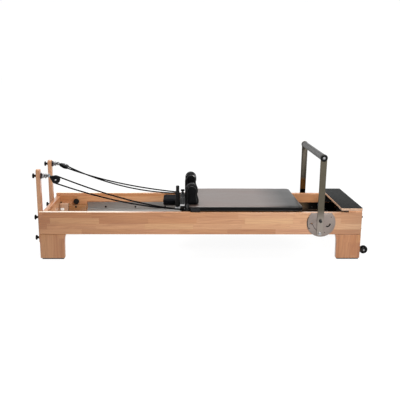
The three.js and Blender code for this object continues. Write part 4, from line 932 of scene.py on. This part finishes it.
# ------------------------------------------------------------------ ropes: round the sheave, then two strands to the carriage
XS, XB = -0.980, -1.044
def route(g):
    s = "near" if g < 0 else "far"
    _, _, dip, roll, a0 = PUL[s]
    Rw, M = 0.0278, block_frame(s, g)
    C = M @ Vector((BL * MM, 0, 0))
    back = Vector((math.cos(dip), 0, -math.sin(dip))) if roll else Vector((1, 0, 0))
    up = (M.to_3x3() @ Vector((0, 0, 1))) if roll else Vector((0, 0, 1))
    def on(a): return C - back * (Rw * math.sin(a)) + up * (Rw * math.cos(a))
    a1 = math.pi
    def strand(p, q, n, sag):
        out = []
        for i in range(n + 1):
            t = i / n; e = t * t * (3 - 2 * t)
            out.append(Vector((p.x + (q.x - p.x) * t, p.y + (q.y - p.y) * e, p.z + (q.z - p.z) * t - sag * 4 * t * (1 - t))))
        return out
    (za, sa), (zb, sb) = ((0.374, 0.034), (0.370, 0.036)) if g < 0 else ((0.366, 0.057), (0.381, 0.033))
    s1 = strand(Vector((-0.166, g * 0.288, za)), on(-a0), 60, sa)
    wrap = [on(-a0 + a1 * i / 22) for i in range(1, 22)]
    s2 = strand(on(a1 - a0), Vector((-0.166, g * 0.262, zb)), 60, sb)
    return s1, wrap, s2
def cut(pts, x):
    """Part of a strand up to the plane at x, from its first point."""
    out = [pts[0]]
    for a, b in zip(pts, pts[1:]):
        if (a.x - x) * (b.x - x) <= 0 and a.x != b.x:
            out.append(a + (b - a) * ((x - a.x) / (b.x - a.x))); return out
        out.append(b)
    return out
def length(p): return sum((b - a).length for a, b in zip(p, p[1:]))
def even(pts, step):
    """Points spaced evenly along a line."""
    total = length(pts); n = max(2, round(total / step)); out = [pts[0]]; i = 0; run = 0.0
    for k in range(1, n):
        want = total * k / n
        while run + (pts[i + 1] - pts[i]).length < want:
            run += (pts[i + 1] - pts[i]).length; i += 1
        a, b = pts[i], pts[i + 1]
        out.append(a + (b - a) * ((want - run) / (b - a).length))
    return out + [pts[-1]]
ROPE_TOTAL = {}
for s, g in SIDES:
    s1, wrap, s2 = route(g)
    A = cut(s1, XS)
    tail = cut(s2[::-1], XS)
    p_in = cut(s1[::-1], XS)[::-1]
    p_out = cut(s2, XS)
    n_in, n_out = cut(p_in, XB), cut(p_out[::-1], XB)
    P = cut(p_in[::-1], XB)[::-1] + wrap + cut(p_out, XB)
    total = 0.0
    for nm, pts, blend, exit_, rep in (("carriage_end", even(A, 0.009), (XS, -0.170, "frame", "carriage"), A[0], (f"rope_{s}",)),
                                       ("neck_upper", even(n_in, 0.005), (XB, XS, f"riser_{s}", "frame"), n_in[0], ()),
                                       ("round_sheave", even(P, 0.004), (-1.064, XB, f"pulley_block_{s}", f"riser_{s}"), P[0], ()),
                                       ("neck_lower", even(n_out, 0.005), (XB, XS, f"riser_{s}", "frame"), n_out[0], ()),
                                       ("loop_end", even(tail, 0.009), (XS, -0.170, "frame", "carriage"), tail[0], ())):
        o = tube_mesh(f"rope_{s}_{nm}", pts, 0.0054, braid(), 12)
        L1 = length(pts); total += L1
        if rep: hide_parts(*rep)
        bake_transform(o)
    ROPE_TOTAL[s] = total
    # heat-shrunk ends, and a short tail from the first strand to the ring on its post
    t0 = [A[0] + Vector((0.017 * i / 6, 0, 0.0016 * i / 6)) for i in range(7)]
    place(tube_mesh(f"rope_tail_{s}", t0, 0.0050, braid(), 12), "carriage")
    for nm, end in (("a", A), ("b", tail)):
        d = (end[2] - end[0]).normalized()
        q = [end[0] + d * (0.004 + 0.004 * i) for i in range(9)]
        o = tube_mesh(f"rope_sleeve_{s}_{nm}", q, 0.0061, plastic("sleeve", (6, 6, 7), 0.5, 0.14), 12)
        place(o, "carriage")
print("rope length per side", ROPE_TOTAL)

# ------------------------------------------------------------------ springs
tints = ((176, 40, 36), (176, 40, 36), (40, 70, 150), (196, 168, 40))
for i, y in enumerate((-165, -55, 55, 165), 1):
    x0, x1, rr = 748.8 + 14, 1007.4 - 14, 11.2
    turns, per = 52, 14
    pts = []
    for k2 in range(6):
        pts.append(Vector((x0 - 14 + 2.2 * k2, y, 250)) * MM)
    for k2 in range(turns * per + 1):
        a = 2 * math.pi * k2 / per; t = k2 / (turns * per)
        r = rr * min(1.0, k2 / per * 0.9 + 0.1, (turns * per - k2) / per * 0.9 + 0.1)
        pts.append(Vector((x0 + (x1 - x0) * t, y + r * math.sin(a), 250 + r * math.cos(a))) * MM)
    for k2 in range(1, 7):
        pts.append(Vector((x1 + 2.2 * k2, y, 250)) * MM)
    o = tube_mesh(f"spring_{i}", pts, 0.0014, metal("oiled_spring", (72, 58, 46), 0.36, "n", 0.5, (34, 27, 22)), 6)
    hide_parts(f"carriage_spring_{i}")
    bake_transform(o)
    lathe(f"spring_tag_{i}", [(12.9, -9), (13.6, -8), (13.8, 0), (13.6, 8), (12.9, 9)], "x", (992, y, 250), plastic(f"tag_{i}", (46 + 8 * i, 46, 48), 0.5), 28, "frame", closed=True)

# ------------------------------------------------------------------ floor, world, lights
def floor():
    bm = bmesh.new()
    bmesh.ops.create_grid(bm, x_segments=8, y_segments=8, size=30.0)
    o = from_bm("studio_floor", bm, None)
    k = Mat("floor_paper")
    n = k.noise(k.tc.outputs["Object"], 3.0, 3.0)
    k.set(Base_Color=k.mix(n, (0.10, 0.10, 0.10, 1), (0.12, 0.12, 0.12, 1)), Roughness=0.9, Specular_IOR_Level=0.1,
          Emission_Color=(1, 1, 1, 1), Emission_Strength=0.92)
    o.data.materials.append(k.m)
    o.location.z = -0.0005
floor()

world = bpy.data.worlds.new("studio"); scene.world = world; world.use_nodes = True
wt = world.node_tree; wt.nodes.clear()
wo = wt.nodes.new("ShaderNodeOutputWorld"); bg = wt.nodes.new("ShaderNodeBackground"); tc = wt.nodes.new("ShaderNodeTexCoord")
sep = wt.nodes.new("ShaderNodeSeparateXYZ"); rg = wt.nodes.new("ShaderNodeMapRange")
rg.interpolation_type = "SMOOTHSTEP"
wt.links.new(tc.outputs["Generated"], sep.inputs[0]); wt.links.new(sep.outputs["Y"], rg.inputs["Value"])
for key, v in (("From Min", -0.35), ("From Max", 0.30), ("To Min", 0.13), ("To Max", 1.01)): rg.inputs[key].default_value = v
wt.links.new(rg.outputs[0], bg.inputs["Strength"]); bg.inputs["Color"].default_value = (1, 1, 1, 1)
wt.links.new(bg.outputs[0], wo.inputs[0])

def area(name, loc, aim, size, power, col=(1, 1, 1)):
    l = bpy.data.lights.new(name, "AREA"); l.shape = "RECTANGLE"; l.size, l.size_y = size
    l.energy = power; l.color = col
    o = bpy.data.objects.new(name, l); scene.collection.objects.link(o)
    d = (Vector(aim) - Vector(loc)).normalized()
    o.rotation_euler = d.to_track_quat("-Z", "Y").to_euler(); o.location = loc
area("key", (1.6, -3.4, 2.1), (0.1, 0, 0.3), (1.8, 1.8), 125)
area("top", (-0.3, 0.4, 3.6), (0, 0, 0.3), (3.2, 2.2), 130)
scene.view_settings.view_transform = "Standard"
scene.view_settings.look = "None"
scene.view_settings.exposure = 0.0
scene.view_settings.gamma = 1.0
